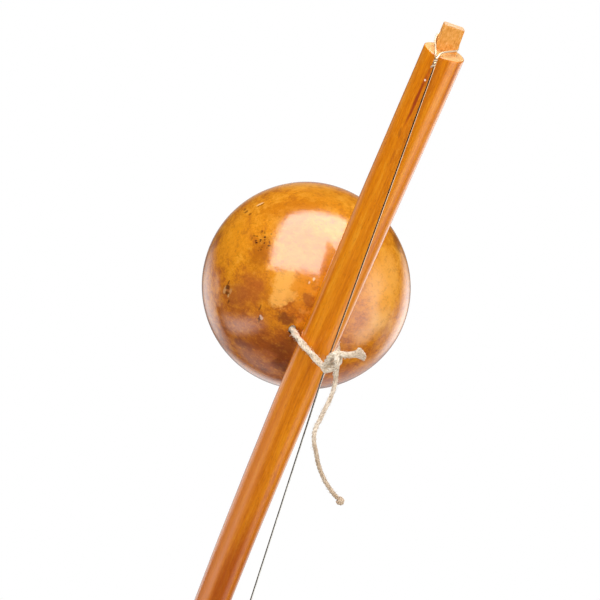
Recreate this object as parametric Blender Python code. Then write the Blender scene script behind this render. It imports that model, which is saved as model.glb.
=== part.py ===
"""Berimbau: a musical bow with a gourd resonator, as separate named pieces, in metres.

The stave's chord stands on Z with the carved foot up, the string runs on the -Y side and the gourd hangs on
the +Y side. The origin is on the stave's axis beside the gourd, where a hand holds the bow.
"""
import math

import bmesh
import bpy
from mathutils import Vector

# Fits between pieces
CLEARANCE = 0.0003
STRAND_GAP = 0.0005

# Stave: a tapering pole, bent by its string, with a flat tongue carved on its foot
STAVE_LENGTH = 1.350
FOOT_RADIUS = 0.01425
TIP_RADIUS = 0.01175
STAVE_BEND = math.radians(38.4)
EDGE_ROUND = 0.0008
PEG_HEIGHT = 0.0188
PEG_BASE_WIDTH = 0.0154
PEG_TOP_WIDTH = 0.0142
PEG_TOP_SHIFT = -0.0006
PEG_THICKNESS = 0.0058
PEG_SETBACK = 0.0006
PEG_ROUND = 0.0007

# Gourd: a round shell with a cut mouth and two holes for its loop
GRIP_STATION = 0.2355
GOURD_DIAMETER = 0.160
GOURD_WALL = 0.0045
GOURD_MOUTH = 0.112
GOURD_RIM_ROUND = 0.0006
LOOP_HOLE_SPREAD = 0.0344
LOOP_HOLE_DROP = 0.0016

# String: one steel wire from the tongue to the eye at the tip
STRING_DIAMETER = 0.0013
STRING_HEIGHT = 0.0343
STRING_STATION = 0.0065
STRING_SIDE = 0.0018
STRING_FOOT_ANGLE = math.radians(-27.0)
STRING_FOOT_DROP = 0.0022
STRING_TIP_SIDE = 0.0075
FOOT_TWIST_LENGTH = 0.0075
TWIST_TURNS = 3
TWIST_GAP = 0.0006
PEG_LOOP_FREE = 0.0007
PEG_LOOP_FRONT = 0.0026
PEG_LOOP_BACK = 0.0050
EYE_RADIUS = 0.0048
EYE_STATION = 0.0420
EYE_HEIGHT = 0.0160

# Twine loop that holds the gourd and draws the string in
TWINE_DIAMETER = 0.0034
LOOP_TURNS = 2
LOOP_INNER_DEPTH = 0.0285
KNOT_CENTRE = Vector((0.0036, -0.0433, 0.0110))
KNOT_SIZE = Vector((0.0108, 0.0086, 0.0132))
TAIL_KNOT_DIAMETER = 0.0064

# Leather pad and its tacks on the tip
PAD_DIAMETER = 0.0250
PAD_THICKNESS = 0.0040
PAD_ROUND = 0.0015
TACK_HEAD_DIAMETER = 0.0050
TACK_HEAD_HEIGHT = 0.0014
TACK_SHANK_DIAMETER = 0.0013
TACK_LENGTH = 0.0120
TACK_PLACES = ((-0.0070, 0.0), (-0.0015, 0.0068), (-0.0015, -0.0068))

# Tie cord at the tip
TIE_DIAMETER = 0.0025
TIE_TURNS = 7
TIE_GAP = 0.0005
TIE_KNOT_LENGTH = 0.0090
TIE_KNOT_WIDTH = 0.0084
TIE_KNOT_HEIGHT = 0.0074

# Free twine: hand-chosen points, each (side, out, along) from the grip
SHORT_TAIL_POINTS = (
    (0.0085, -0.0425, 0.0180), (0.0135, -0.0425, 0.0200),
    (0.0184, -0.0425, 0.0223), (0.0227, -0.0425, 0.0259))
LONG_TAIL_POINTS = (
    (0.0080, -0.0430, 0.0040), (0.0091, -0.0434, 0.0010), (0.0106, -0.0453, -0.0067),
    (0.0103, -0.0477, -0.0164), (0.0087, -0.0508, -0.0287), (0.0077, -0.0533, -0.0386),
    (0.0099, -0.0553, -0.0470), (0.0137, -0.0570, -0.0534), (0.0177, -0.0587, -0.0606),
    (0.0258, -0.0612, -0.0704), (0.0356, -0.0632, -0.0785), (0.0396, -0.0638, -0.0809))
TAIL_KNOT_CENTRE = Vector((0.0425, -0.0643, -0.0827))

# Sizes that follow from those above
STRING_RADIUS = STRING_DIAMETER / 2
TWIST_RADIUS = STRING_DIAMETER + TWIST_GAP
TWINE_RADIUS = TWINE_DIAMETER / 2
STRAND_OFFSET = (TWINE_DIAMETER + STRAND_GAP) / 2
LOOP_HOLE_DIAMETER = 2 * (STRAND_OFFSET + TWINE_RADIUS) + 4 * CLEARANCE
GOURD_RADIUS = GOURD_DIAMETER / 2
TIE_RADIUS = TIE_DIAMETER / 2
PAD_TOP = CLEARANCE + PAD_THICKNESS
AXIS_STEPS = 270


def stave_radius(station):
    """Radius of the stave at a distance from its shoulder."""
    return FOOT_RADIUS + (TIP_RADIUS - FOOT_RADIUS) * station / STAVE_LENGTH


def bent_axis():
    """Points (y, z) and tilts along the bent axis, most bent where the pole is slim, chord on Z."""
    step = STAVE_LENGTH / AXIS_STEPS
    weights = []
    for index in range(AXIS_STEPS):
        station = (index + 0.5) * step
        slimness = (FOOT_RADIUS / stave_radius(station)) ** 4
        weights.append(math.sin(math.pi * station / STAVE_LENGTH) * slimness)
    share = STAVE_BEND / sum(weights)
    turn = 0.0
    spots = [(0.0, 0.0, 0.0)]
    for weight in weights:
        y, z, _ = spots[-1]
        middle = turn + share * weight / 2
        turn += share * weight
        spots.append((y - math.sin(middle) * step, z - math.cos(middle) * step, turn))
    lean = math.atan2(-spots[-1][0], -spots[-1][1])
    upright = []
    for y, z, turn in spots:
        across = y * math.cos(lean) - z * math.sin(lean)
        along = y * math.sin(lean) + z * math.cos(lean)
        upright.append((across, along, turn - lean))
    return upright


AXIS = bent_axis()


def axis_spot(station):
    """Interpolated (y, z, tilt) of the axis at a distance from the shoulder."""
    place = min(max(station / STAVE_LENGTH * AXIS_STEPS, 0.0), float(AXIS_STEPS))
    index = min(int(place), AXIS_STEPS - 1)
    part = place - index
    return [a + (b - a) * part for a, b in zip(AXIS[index], AXIS[index + 1])]


GRIP = axis_spot(GRIP_STATION)
GRIP_RADIUS = stave_radius(GRIP_STATION)
GOURD_CENTRE = GRIP_RADIUS + CLEARANCE + GOURD_RADIUS


def on_stave(station, side, out, along):
    """World point from stave coordinates: side on X, out away from the string, along to the foot."""
    y, z, tilt = axis_spot(station)
    return Vector((
        side,
        y - GRIP[0] + out * math.cos(tilt) + along * math.sin(tilt),
        z - GRIP[1] - out * math.sin(tilt) + along * math.cos(tilt)))


def smooth(points, step):
    """Points at most a step apart on a smooth curve through the given points."""
    points = [Vector(point) for point in points]
    ends = [2 * points[0] - points[1]] + points + [2 * points[-1] - points[-2]]
    route = [points[0]]
    for a, b, c, d in zip(ends, ends[1:], ends[2:], ends[3:]):
        t1 = math.sqrt((b - a).length)
        t2 = t1 + math.sqrt((c - b).length)
        t3 = t2 + math.sqrt((d - c).length)
        count = max(1, math.ceil((c - b).length / step))
        for index in range(1, count + 1):
            t = t1 + (t2 - t1) * index / count
            ab = a.lerp(b, t / t1)
            bc = b.lerp(c, (t - t1) / (t2 - t1))
            cd = c.lerp(d, (t - t2) / (t3 - t2))
            left = ab.lerp(bc, t / t2)
            right = bc.lerp(cd, (t - t1) / (t3 - t1))
            route.append(left.lerp(right, (t - t1) / (t2 - t1)))
    return route


def evenly(points, count):
    """The given number of points at equal distances along a route."""
    runs = [0.0]
    for a, b in zip(points, points[1:]):
        runs.append(runs[-1] + (b - a).length)
    spots = []
    index = 0
    for number in range(count):
        goal = runs[-1] * number / (count - 1)
        while index < len(points) - 2 and runs[index + 1] < goal:
            index += 1
        part = (goal - runs[index]) / (runs[index + 1] - runs[index])
        spots.append(points[index].lerp(points[index + 1], part))
    return spots


def least_gap(name, points, diameter):
    """Prints the least clear distance between stretches of one tube that aren't neighbours along it."""
    runs = [0.0]
    for a, b in zip(points, points[1:]):
        runs.append(runs[-1] + (b - a).length)
    least = 1.0
    for i, a in enumerate(points):
        for j in range(i + 1, len(points)):
            if runs[j] - runs[i] > 3.0 * diameter:
                least = min(least, (a - points[j]).length)
    print(f"{name}: least gap to itself {1000 * (least - diameter):.2f} mm")


def tangent_touch(point, centre, radius, side):
    """Where a line from a point touches a circle; side is +1 or -1."""
    dx = point[0] - centre[0]
    dy = point[1] - centre[1]
    angle = math.atan2(dy, dx) + side * math.acos(radius / math.hypot(dx, dy))
    return angle


def outer_tangent(small, small_radius, large, large_radius, side):
    """Angle of the outward normal of the line that touches two circles on one side, -1 left or +1 right."""
    dx = small[0] - large[0]
    dy = small[1] - large[1]
    return math.atan2(dy, dx) + side * math.acos((large_radius - small_radius) / math.hypot(dx, dy))


def circle(centre, radius, angle):
    """Point on a circle."""
    return (centre[0] + radius * math.cos(angle), centre[1] + radius * math.sin(angle))


def twist(start, end, aside, radius, turns):
    """Points of a wire end wound round a straight core from start to end, last point on the aside side."""
    core = (end - start).normalized()
    aside = (aside - core * aside.dot(core)).normalized()
    across = core.cross(aside)
    count = 12 * turns
    spots = []
    for index in range(count + 1):
        angle = 2 * math.pi * (index - count) / 12
        round_core = aside * math.cos(angle) + across * math.sin(angle)
        spots.append(start.lerp(end, index / count) + round_core * radius)
    return spots


def finish(name, color, roughness, metallic):
    """A plain material."""
    material = bpy.data.materials.new(name)
    material.use_nodes = True
    shader = material.node_tree.nodes["Principled BSDF"]
    shader.inputs["Base Color"].default_value = (*color, 1.0)
    shader.inputs["Roughness"].default_value = roughness
    shader.inputs["Metallic"].default_value = metallic
    return material


def add(name, data, material=None, parent=None):
    """Links a new object, under a parent where one is given."""
    made = bpy.data.objects.new(name, data)
    bpy.context.scene.collection.objects.link(made)
    if material is not None:
        data.materials.append(material)
    made.parent = parent
    return made


def mesh_object(name, work, material=None, parent=None):
    """Turns a bmesh into a smooth-shaded object."""
    bmesh.ops.recalc_face_normals(work, faces=work.faces)
    mesh = bpy.data.meshes.new(name)
    work.to_mesh(mesh)
    work.free()
    mesh.polygons.foreach_set("use_smooth", [True] * len(mesh.polygons))
    return add(name, mesh, material, parent)


def tube(name, points, radius, resolution, material, parent=None, flare=None):
    """A capped round tube through the points, its radius scaled by a list of factors where one is given."""
    curve = bpy.data.curves.new(name, "CURVE")
    curve.dimensions = "3D"
    curve.bevel_depth = radius
    curve.bevel_resolution = resolution
    curve.use_fill_caps = True
    spline = curve.splines.new("POLY")
    spline.points.add(len(points) - 1)
    for index, point in enumerate(points):
        spline.points[index].co = (*point, 1.0)
        spline.points[index].radius = 1.0 if flare is None else flare[index]
    return add(name, curve, material, parent)


def ball(name, size, material, parent, centre):
    """A lump with three diameters."""
    work = bmesh.new()
    bmesh.ops.create_uvsphere(work, u_segments=20, v_segments=12, radius=0.5)
    bmesh.ops.scale(work, vec=size, verts=work.verts)
    lump = mesh_object(name, work, material, parent)
    lump.location = centre
    return lump


def rod_cutter(name, radius, bottom, top, parent, sides):
    """A hidden cylinder along the parent's Z, for cutting."""
    work = bmesh.new()
    bmesh.ops.create_cone(work, cap_ends=True, segments=sides, radius1=radius, radius2=radius,
                          depth=top - bottom)
    bmesh.ops.translate(work, vec=(0.0, 0.0, (top + bottom) / 2), verts=work.verts)
    return hide(mesh_object(name, work, None, parent))


def hide(cutter):
    """Keeps a cutting shape out of the finished object."""
    cutter.hide_render = True
    cutter.display_type = "WIRE"
    return cutter


def combine(target, operation, tool):
    """Cuts or joins with another object."""
    change = target.modifiers.new(tool.name, "BOOLEAN")
    change.operation = operation
    change.solver = "EXACT"
    change.object = tool


def soften(target, width, segments, angle=30.0):
    """Rounds the sharp edges of an object."""
    change = target.modifiers.new("Rounded edges", "BEVEL")
    change.width = width
    change.segments = segments
    change.limit_method = "ANGLE"
    change.angle_limit = math.radians(angle)


def frame_at(name, station):
    """An empty on the stave's axis: X to the side, Y away from the string, Z towards the foot."""
    empty = add(name, None)
    empty.location = on_stave(station, 0.0, 0.0, 0.0)
    empty.rotation_euler = (-axis_spot(station)[2], 0.0, 0.0)
    return empty


def turn_over(frame, name):
    """An empty in a frame with Z pointing out of the tip."""
    empty = add(name, None, None, frame)
    empty.rotation_euler = (math.pi, 0.0, 0.0)
    return empty


for old in list(bpy.data.objects):
    bpy.data.objects.remove(old)

WOOD = finish("stave_wood", (0.62, 0.27, 0.075), 0.30, 0.0)
SHELL = finish("gourd_shell", (0.46, 0.20, 0.05), 0.22, 0.0)
STEEL = finish("string_steel", (0.45, 0.45, 0.46), 0.35, 1.0)
TWINE = finish("loop_twine", (0.72, 0.66, 0.53), 0.90, 0.0)
LEATHER = finish("pad_leather", (0.16, 0.075, 0.035), 0.70, 0.0)
BRASS = finish("tack_brass", (0.72, 0.52, 0.22), 0.35, 1.0)
CORD = finish("tie_cord", (0.70, 0.66, 0.58), 0.85, 0.0)

foot_frame = frame_at("foot_frame", 0.0)
tip_frame = turn_over(frame_at("tip_inside", STAVE_LENGTH), "tip_frame")
gourd_slide = frame_at("gourd_slide", GRIP_STATION)


def make_stave():
    """The bent pole with its tongue joined on and the holes of the tacks."""
    sides = 32
    stations = [0.0, EDGE_ROUND]
    stations += [STAVE_LENGTH * number / 36 for number in range(1, 36)]
    stations += [STAVE_LENGTH - EDGE_ROUND, STAVE_LENGTH]
    work = bmesh.new()
    rings = []
    for station in stations:
        radius = stave_radius(station)
        if station in (stations[0], stations[-1]):
            radius -= EDGE_ROUND
        ring = []
        for number in range(sides):
            angle = 2 * math.pi * number / sides
            spot = on_stave(station, radius * math.sin(angle), radius * math.cos(angle), 0.0)
            ring.append(work.verts.new(spot))
        rings.append(ring)
    for low, high in zip(rings, rings[1:]):
        for number in range(sides):
            after = (number + 1) % sides
            work.faces.new((low[number], low[after], high[after], high[number]))
    work.faces.new(rings[0])
    work.faces.new(rings[-1])
    stave = mesh_object("stave", work, WOOD)

    work = bmesh.new()
    bmesh.ops.create_cube(work, size=1.0)
    sunk = 0.004
    for corner in work.verts:
        top = corner.co.z > 0.0
        width = PEG_TOP_WIDTH if top else PEG_BASE_WIDTH
        corner.co.x = corner.co.x * width + (PEG_TOP_SHIFT if top else 0.0)
        corner.co.y = corner.co.y * PEG_THICKNESS + PEG_SETBACK
        corner.co.z = PEG_HEIGHT if top else -sunk
    bmesh.ops.bevel(work, geom=list(work.edges), offset=PEG_ROUND, segments=2, profile=0.5, affect="EDGES")
    combine(stave, "UNION", hide(mesh_object("tongue", work, WOOD, foot_frame)))
    for number, (side, out) in enumerate(TACK_PLACES, 1):
        hole = rod_cutter(f"tack_hole_{number}", TACK_SHANK_DIAMETER / 2 + CLEARANCE,
                          -TACK_LENGTH, PAD_TOP, tip_frame, 12)
        hole.location = (side, -out, 0.0)
        combine(stave, "DIFFERENCE", hole)
    return stave


def peg_loop():
    """Points of the string round the tongue, from its left side by the back to its right side."""
    half_width = PEG_BASE_WIDTH / 2 + PEG_LOOP_FREE + STRING_RADIUS
    half_depth = PEG_THICKNESS / 2 + PEG_LOOP_FREE + STRING_RADIUS
    spots = []
    for degrees in (196, 172, 146, 118, 90, 62, 34, 8, -16):
        c = math.cos(math.radians(degrees))
        s = math.sin(math.radians(degrees))
        side = half_width * math.copysign(math.sqrt(abs(c)), c)
        out = PEG_SETBACK + half_depth * math.copysign(math.sqrt(abs(s)), s)
        rise = PEG_LOOP_FRONT + (PEG_LOOP_BACK - PEG_LOOP_FRONT) * (0.5 + 0.5 * out / half_depth)
        lean = PEG_TOP_SHIFT * rise / PEG_HEIGHT
        spots.append(on_stave(0.0, side + lean, out, rise))
    return spots


def string_foot_place():
    """Side and out of the string's straight part at the shoulder, clear of the stave by its twist."""
    reach = FOOT_RADIUS + CLEARANCE + TWIST_RADIUS + STRING_RADIUS
    return reach * math.sin(STRING_FOOT_ANGLE), -reach * math.cos(STRING_FOOT_ANGLE)


def string_foot():
    """Top of the string's straight part, just below the shoulder."""
    side, out = string_foot_place()
    return on_stave(0.0, side, out, -STRING_FOOT_DROP)


def pad_half():
    """Half of the pad's width where the string crosses it."""
    return math.sqrt((PAD_DIAMETER / 2) ** 2 - STRING_TIP_SIDE ** 2)


def string_tip():
    """About where the string meets the pad."""
    return on_stave(STAVE_LENGTH, STRING_TIP_SIDE, -pad_half(), 0.0)


def string_route():
    """The string from the twisted end at the foot, round the tongue, to the kink, the tip and the eye."""
    side, out = string_foot_place()
    core_top = string_foot()
    kink = on_stave(GRIP_STATION, STRING_SIDE, -STRING_HEIGHT, STRING_STATION)
    down = (kink - core_top).normalized()
    core_end = core_top + down * FOOT_TWIST_LENGTH
    wound = twist(core_end, core_top, Vector((-1.0, 0.0, 0.0)), TWIST_RADIUS, TWIST_TURNS)
    lead = [wound[0] - (wound[1] - wound[0]).normalized() * STRING_DIAMETER]
    edge_left = on_stave(0.0, side - 0.0023, out + 0.0006, 0.0014)
    edge_right = on_stave(0.0, side + 0.0022, out + 0.0018, 0.0021)
    core = [core_top + down * run for run in (0.0, 0.0015, 0.0030, 0.0050)]
    over = [wound[-1], edge_left] + peg_loop() + [edge_right] + core
    route = lead + wound[:-1] + smooth(over, 0.0016)

    half = pad_half()
    bend = PAD_ROUND + CLEARANCE + STRING_RADIUS
    front = (-half + PAD_ROUND, PAD_TOP - PAD_ROUND)
    back = (half - PAD_ROUND, PAD_TOP - PAD_ROUND)
    tip = on_stave(STAVE_LENGTH, 0.0, 0.0, 0.0)
    outward = on_stave(STAVE_LENGTH, 0.0, 1.0, 0.0) - tip
    beyond = on_stave(STAVE_LENGTH, 0.0, 0.0, -1.0) - tip
    kink_flat = ((kink - tip).dot(outward), (kink - tip).dot(beyond))
    first = tangent_touch(kink_flat, front, bend, -1) % (2 * math.pi)
    eye_top = (EYE_HEIGHT, -EYE_STATION + EYE_RADIUS)
    last = tangent_touch(eye_top, back, bend, 1)
    wrap = [circle(front, bend, first + (math.pi / 2 - first) * number / 4) for number in range(5)]
    wrap += [circle(back, bend, math.pi / 2 + (last - math.pi / 2) * number / 4) for number in range(5)]
    route.append(kink)
    for flat_out, flat_beyond in wrap:
        route.append(on_stave(STAVE_LENGTH, STRING_TIP_SIDE, flat_out, -flat_beyond))
    return route + eye_route(wrap[-1])


def eye_route(start):
    """The string's end behind the tip: down to the eye, round it and back up in a twist."""
    def behind(side, beyond, lift=0.0):
        return on_stave(STAVE_LENGTH, STRING_TIP_SIDE + side, EYE_HEIGHT + lift, -beyond)

    top = -EYE_STATION + EYE_RADIUS
    core_start = behind(0.0, top + 0.0045)
    start_point = on_stave(STAVE_LENGTH, STRING_TIP_SIDE, start[0], -start[1])
    core_end = core_start.lerp(start_point, 0.0075 / (start_point - core_start).length)
    ring = []
    for degrees in (50, 20, -10, -40, -70, -100, -130, -160, -190, -220):
        c = math.cos(math.radians(degrees))
        s = math.sin(math.radians(degrees))
        ring.append(behind(EYE_RADIUS * c, -EYE_STATION + EYE_RADIUS * s))
    aside = behind(-1.0, 0.0) - behind(0.0, 0.0)
    wound = twist(core_end, core_start, aside, TWIST_RADIUS, TWIST_TURNS)
    wound.reverse()
    core = [core_end.lerp(core_start, part) for part in (0.0, 0.3, 0.6, 0.8, 1.0)]
    closing = core + ring + [wound[0]]
    tail = wound[-1] + (wound[-1] - wound[-2]).normalized() * STRING_DIAMETER
    return smooth(closing, 0.0016) + wound[1:] + [tail]


def make_string():
    """The steel string, one unbroken tube."""
    route = string_route()
    least_gap("wire", route, STRING_DIAMETER)
    return tube("wire", route, STRING_RADIUS, 1, STEEL)


def make_gourd():
    """The turned shell, mouth away from the stave, with two holes for the loop."""
    outer = GOURD_RADIUS
    inner = GOURD_RADIUS - GOURD_WALL
    cut = math.sqrt(outer ** 2 - (GOURD_MOUTH / 2) ** 2)
    profile = []
    last = math.pi - math.asin(GOURD_MOUTH / 2 / outer)
    for number in range(19):
        angle = last * number / 18
        profile.append((outer * math.sin(angle), outer * math.cos(angle)))
    inner_last = math.pi - math.acos(cut / inner)
    for number in range(18, -1, -1):
        angle = inner_last * number / 18
        profile.append((inner * math.sin(angle), inner * math.cos(angle)))
    work = bmesh.new()
    spots = [work.verts.new((x, 0.0, z)) for x, z in profile]
    for a, b in zip(spots, spots[1:]):
        work.edges.new((a, b))
    mesh = bpy.data.meshes.new("gourd")
    work.to_mesh(mesh)
    work.free()
    gourd = add("gourd", mesh, SHELL, gourd_slide)
    gourd.location = (0.0, GOURD_CENTRE, 0.0)
    gourd.rotation_euler = (math.pi / 2, 0.0, 0.0)
    turned = gourd.modifiers.new("Turned shell", "SCREW")
    turned.axis = "Z"
    turned.steps = 48
    turned.render_steps = 48
    turned.use_merge_vertices = True
    turned.merge_threshold = 0.00002
    turned.use_smooth_shade = True
    soften(gourd, GOURD_RIM_ROUND, 2, 40.0)
    depth = loop_hole_out()
    for number, way in enumerate((-1.0, 1.0), 1):
        hole = rod_cutter(f"loop_hole_{number}", LOOP_HOLE_DIAMETER / 2, -0.010, 0.013, gourd_slide, 20)
        hole.location = (way * LOOP_HOLE_SPREAD / 2, depth, -LOOP_HOLE_DROP)
        hole.rotation_euler = (-math.pi / 2, 0.0, 0.0)
        combine(gourd, "DIFFERENCE", hole)
    return gourd


def loop_hole_out():
    """Distance out from the axis to the shell's outside at a loop hole."""
    away = math.hypot(LOOP_HOLE_SPREAD / 2, LOOP_HOLE_DROP)
    return GOURD_CENTRE - math.sqrt(GOURD_RADIUS ** 2 - away ** 2)


def string_slopes():
    """How far the string goes out per length along the stave, above and below the loop."""
    tilt = GRIP[2]
    slopes = []
    for end in (string_foot(), string_tip()):
        out = end.y * math.cos(tilt) - end.z * math.sin(tilt)
        along = end.y * math.sin(tilt) + end.z * math.cos(tilt)
        slopes.append((out + STRING_HEIGHT) / (along - STRING_STATION))
    return slopes


def loop_middle():
    """Closed route, in the gourd's frame, midway between the two strands of the loop."""
    above, below = string_slopes()
    string = (STRING_SIDE, -STRING_HEIGHT - STRAND_OFFSET * (below - above) / 2)
    round_string = (STRING_RADIUS + CLEARANCE + TWINE_RADIUS) * math.hypot(1.0, below)
    round_stave = GRIP_RADIUS + CLEARANCE + TWINE_RADIUS
    hole = (LOOP_HOLE_SPREAD / 2, loop_hole_out())
    left = outer_tangent(string, round_string, (0.0, 0.0), round_stave, -1)
    right = outer_tangent(string, round_string, (0.0, 0.0), round_stave, 1)
    flat = [circle(string, round_string, right), circle((0.0, 0.0), round_stave, right)]
    flat += [circle((0.0, 0.0), round_stave, right * 0.3), ((round_stave + hole[0]) / 2, hole[1] * 0.5)]
    flat += [hole, (hole[0] - 0.0014, hole[1] + 0.0065), (hole[0] * 0.55, LOOP_INNER_DEPTH - 0.0008)]
    flat += [(0.0, LOOP_INNER_DEPTH)]
    flat += [(-x, y) for x, y in reversed(flat[2:-1])]
    flat += [circle((0.0, 0.0), round_stave, left), circle(string, round_string, left)]
    flat += [circle(string, round_string, left + (right - left) * part / 5) for part in range(1, 5)]
    front = string[1] - round_string
    points = []
    for x, y in flat:
        part = min(1.0, (hole[1] - min(y, hole[1])) / (hole[1] - front))
        points.append(Vector((x, y, -LOOP_HOLE_DROP + (STRING_STATION + LOOP_HOLE_DROP) * part)))
    around = smooth(points[-3:] + points + points[:3], 0.0008)
    start = min(range(len(around) // 2), key=lambda index: (around[index] - points[0]).length)
    end = min(range(len(around) // 2, len(around)), key=lambda index: (around[index] - points[0]).length)
    return around[start:end + 1]


def make_loop():
    """The twine loop: two strands side by side that change places in the gourd, from knot to knot."""
    per_turn = 90
    middle = evenly(loop_middle(), per_turn + 1)
    inner = loop_hole_out() + GOURD_WALL
    inside = [index for index, spot in enumerate(middle) if spot.y > inner]
    spare = 3
    strand = []
    for index in range(spare, per_turn * LOOP_TURNS - spare + 1):
        here = index % per_turn
        before = middle[(here - 1) % per_turn]
        after = middle[(here + 1) % per_turn]
        ahead = (after - before).normalized()
        forward = min(1.0, max(0.0, -middle[here].y / STRING_HEIGHT))
        along = Vector((0.0, forward * sum(string_slopes()) / 2, 1.0))
        along = (along - ahead * along.dot(ahead)).normalized()
        outside = ahead.cross(along)
        part = min(1.0, max(0.0, (here - inside[0]) / (inside[-1] - inside[0])))
        angle = math.pi * (0.5 + index // per_turn + part)
        strand.append(middle[here] + (outside * math.cos(angle) + along * math.sin(angle)) * STRAND_OFFSET)
    least_gap("gourd_loop", strand, TWINE_DIAMETER)
    return tube("gourd_loop", strand, TWINE_RADIUS, 1, TWINE, gourd_slide)


def make_tails():
    """The knot of the loop, its two tails and the stopper knot."""
    ball("loop_knot", KNOT_SIZE, TWINE, gourd_slide, KNOT_CENTRE)
    short = evenly(smooth(SHORT_TAIL_POINTS, 0.001), 9)
    flare = [1.0, 1.0, 1.0, 1.0, 1.05, 1.15, 1.3, 1.5, 1.6]
    tube("short_tail", short, TWINE_RADIUS, 2, TWINE, gourd_slide, flare)
    long = evenly(smooth(LONG_TAIL_POINTS, 0.001), 28)
    tube("long_tail", long, TWINE_RADIUS, 2, TWINE, gourd_slide)
    ball("tail_knot", Vector((TAIL_KNOT_DIAMETER,) * 3), TWINE, gourd_slide, TAIL_KNOT_CENTRE)


def make_pad():
    """The leather pad on the tip, with the holes of the tacks, and the tacks."""
    work = bmesh.new()
    bmesh.ops.create_cone(work, cap_ends=True, segments=40, radius1=PAD_DIAMETER / 2,
                          radius2=PAD_DIAMETER / 2, depth=PAD_THICKNESS)
    bmesh.ops.translate(work, vec=(0.0, 0.0, CLEARANCE + PAD_THICKNESS / 2), verts=work.verts)
    half_way = CLEARANCE + PAD_THICKNESS / 2
    rim = [edge for edge in work.edges if all(vert.co.z > half_way for vert in edge.verts)]
    bmesh.ops.bevel(work, geom=rim, offset=PAD_ROUND, segments=3, profile=0.5, affect="EDGES")
    pad = mesh_object("leather_pad", work, LEATHER, tip_frame)
    for number, (side, out) in enumerate(TACK_PLACES, 1):
        hole = rod_cutter(f"pad_hole_{number}", TACK_SHANK_DIAMETER / 2 + CLEARANCE,
                          -0.002, PAD_TOP + 0.002, tip_frame, 12)
        hole.location = (side, -out, 0.0)
        combine(pad, "DIFFERENCE", hole)
        make_tack(number, side, -out)


def make_tack(number, side, out):
    """One tack: a turned dome head on a pointed shank."""
    head = TACK_HEAD_DIAMETER / 2
    shank = TACK_SHANK_DIAMETER / 2
    seat = PAD_TOP + CLEARANCE
    point = PAD_TOP - TACK_LENGTH
    profile = [(0.0, seat + TACK_HEAD_HEIGHT)]
    for degrees in (25, 50, 75):
        angle = math.radians(degrees)
        profile.append((head * math.sin(angle), seat + TACK_HEAD_HEIGHT * math.cos(angle)))
    profile += [(head, seat), (shank, seat), (shank, point + 0.002), (0.0, point)]
    work = bmesh.new()
    spots = [work.verts.new((x, 0.0, z)) for x, z in profile]
    for a, b in zip(spots, spots[1:]):
        work.edges.new((a, b))
    mesh = bpy.data.meshes.new(f"tack_{number}")
    work.to_mesh(mesh)
    work.free()
    tack = add(f"tack_{number}", mesh, BRASS, tip_frame)
    tack.location = (side, out, 0.0)
    turned = tack.modifiers.new("Turned tack", "SCREW")
    turned.axis = "Z"
    turned.steps = 16
    turned.render_steps = 16
    turned.use_merge_vertices = True
    turned.merge_threshold = 0.00002
    turned.use_smooth_shade = True


def make_tie():
    """The tie cord: a bight through the eye, a knot and turns round the stave."""
    turn = STRING_RADIUS + CLEARANCE + TIE_RADIUS
    low = -EYE_STATION - EYE_RADIUS
    knot_top = low - 0.0085

    def behind(out, beyond):
        return on_stave(STAVE_LENGTH, STRING_TIP_SIDE, out, -beyond)

    bight = [behind(EYE_HEIGHT - turn, knot_top), behind(EYE_HEIGHT - turn, (knot_top + low) / 2)]
    for degrees in range(180, -1, -20):
        angle = math.radians(degrees)
        bight.append(behind(EYE_HEIGHT + turn * math.cos(angle), low + turn * math.sin(angle)))
    bight += [behind(EYE_HEIGHT + turn, (knot_top + low) / 2), behind(EYE_HEIGHT + turn, knot_top)]
    tube("tie_bight", bight, TIE_RADIUS, 2, CORD)

    knot_middle = knot_top - CLEARANCE - TIE_KNOT_LENGTH / 2
    knot_size = Vector((TIE_KNOT_WIDTH, TIE_KNOT_HEIGHT, TIE_KNOT_LENGTH))
    ball("tie_knot", knot_size, CORD, tip_frame, Vector((STRING_TIP_SIDE, -EYE_HEIGHT, knot_middle)))

    begin = knot_middle - TIE_KNOT_LENGTH / 2 - 0.0010
    pitch = TIE_DIAMETER + TIE_GAP
    start_angle = math.atan2(STRING_TIP_SIDE, EYE_HEIGHT)

    def wound(angle, beyond):
        station = STAVE_LENGTH + beyond
        radius = stave_radius(station) + CLEARANCE + TIE_RADIUS
        return on_stave(station, radius * math.sin(angle), radius * math.cos(angle), 0.0)

    settle = 10
    turns = []
    for index in range(24 * TIE_TURNS + 1):
        angle = start_angle + 2 * math.pi * index / 24
        ease = math.sin(math.pi / 2 * min(1.0, index / settle))
        turns.append(wound(angle, begin - 0.0045 - 0.0045 * ease - pitch * index / 24))
    route = smooth([behind(EYE_HEIGHT - 0.0012, begin)] + turns[:2], 0.0012)[:-1] + turns[1:]
    route.append(route[-1] + (route[-1] - route[-2]).normalized() * TIE_DIAMETER)
    least_gap("tie_winding", route, TIE_DIAMETER)
    tube("tie_winding", route, TIE_RADIUS, 1, CORD)


make_stave()
make_string()
make_gourd()
make_loop()
make_tails()
make_pad()
make_tie()
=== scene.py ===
"""Looks of the berimbau: what the eye sees of each piece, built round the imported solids, in metres."""

import math
import random

import bmesh
import bpy
from mathutils import Matrix, Vector, noise


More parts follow.
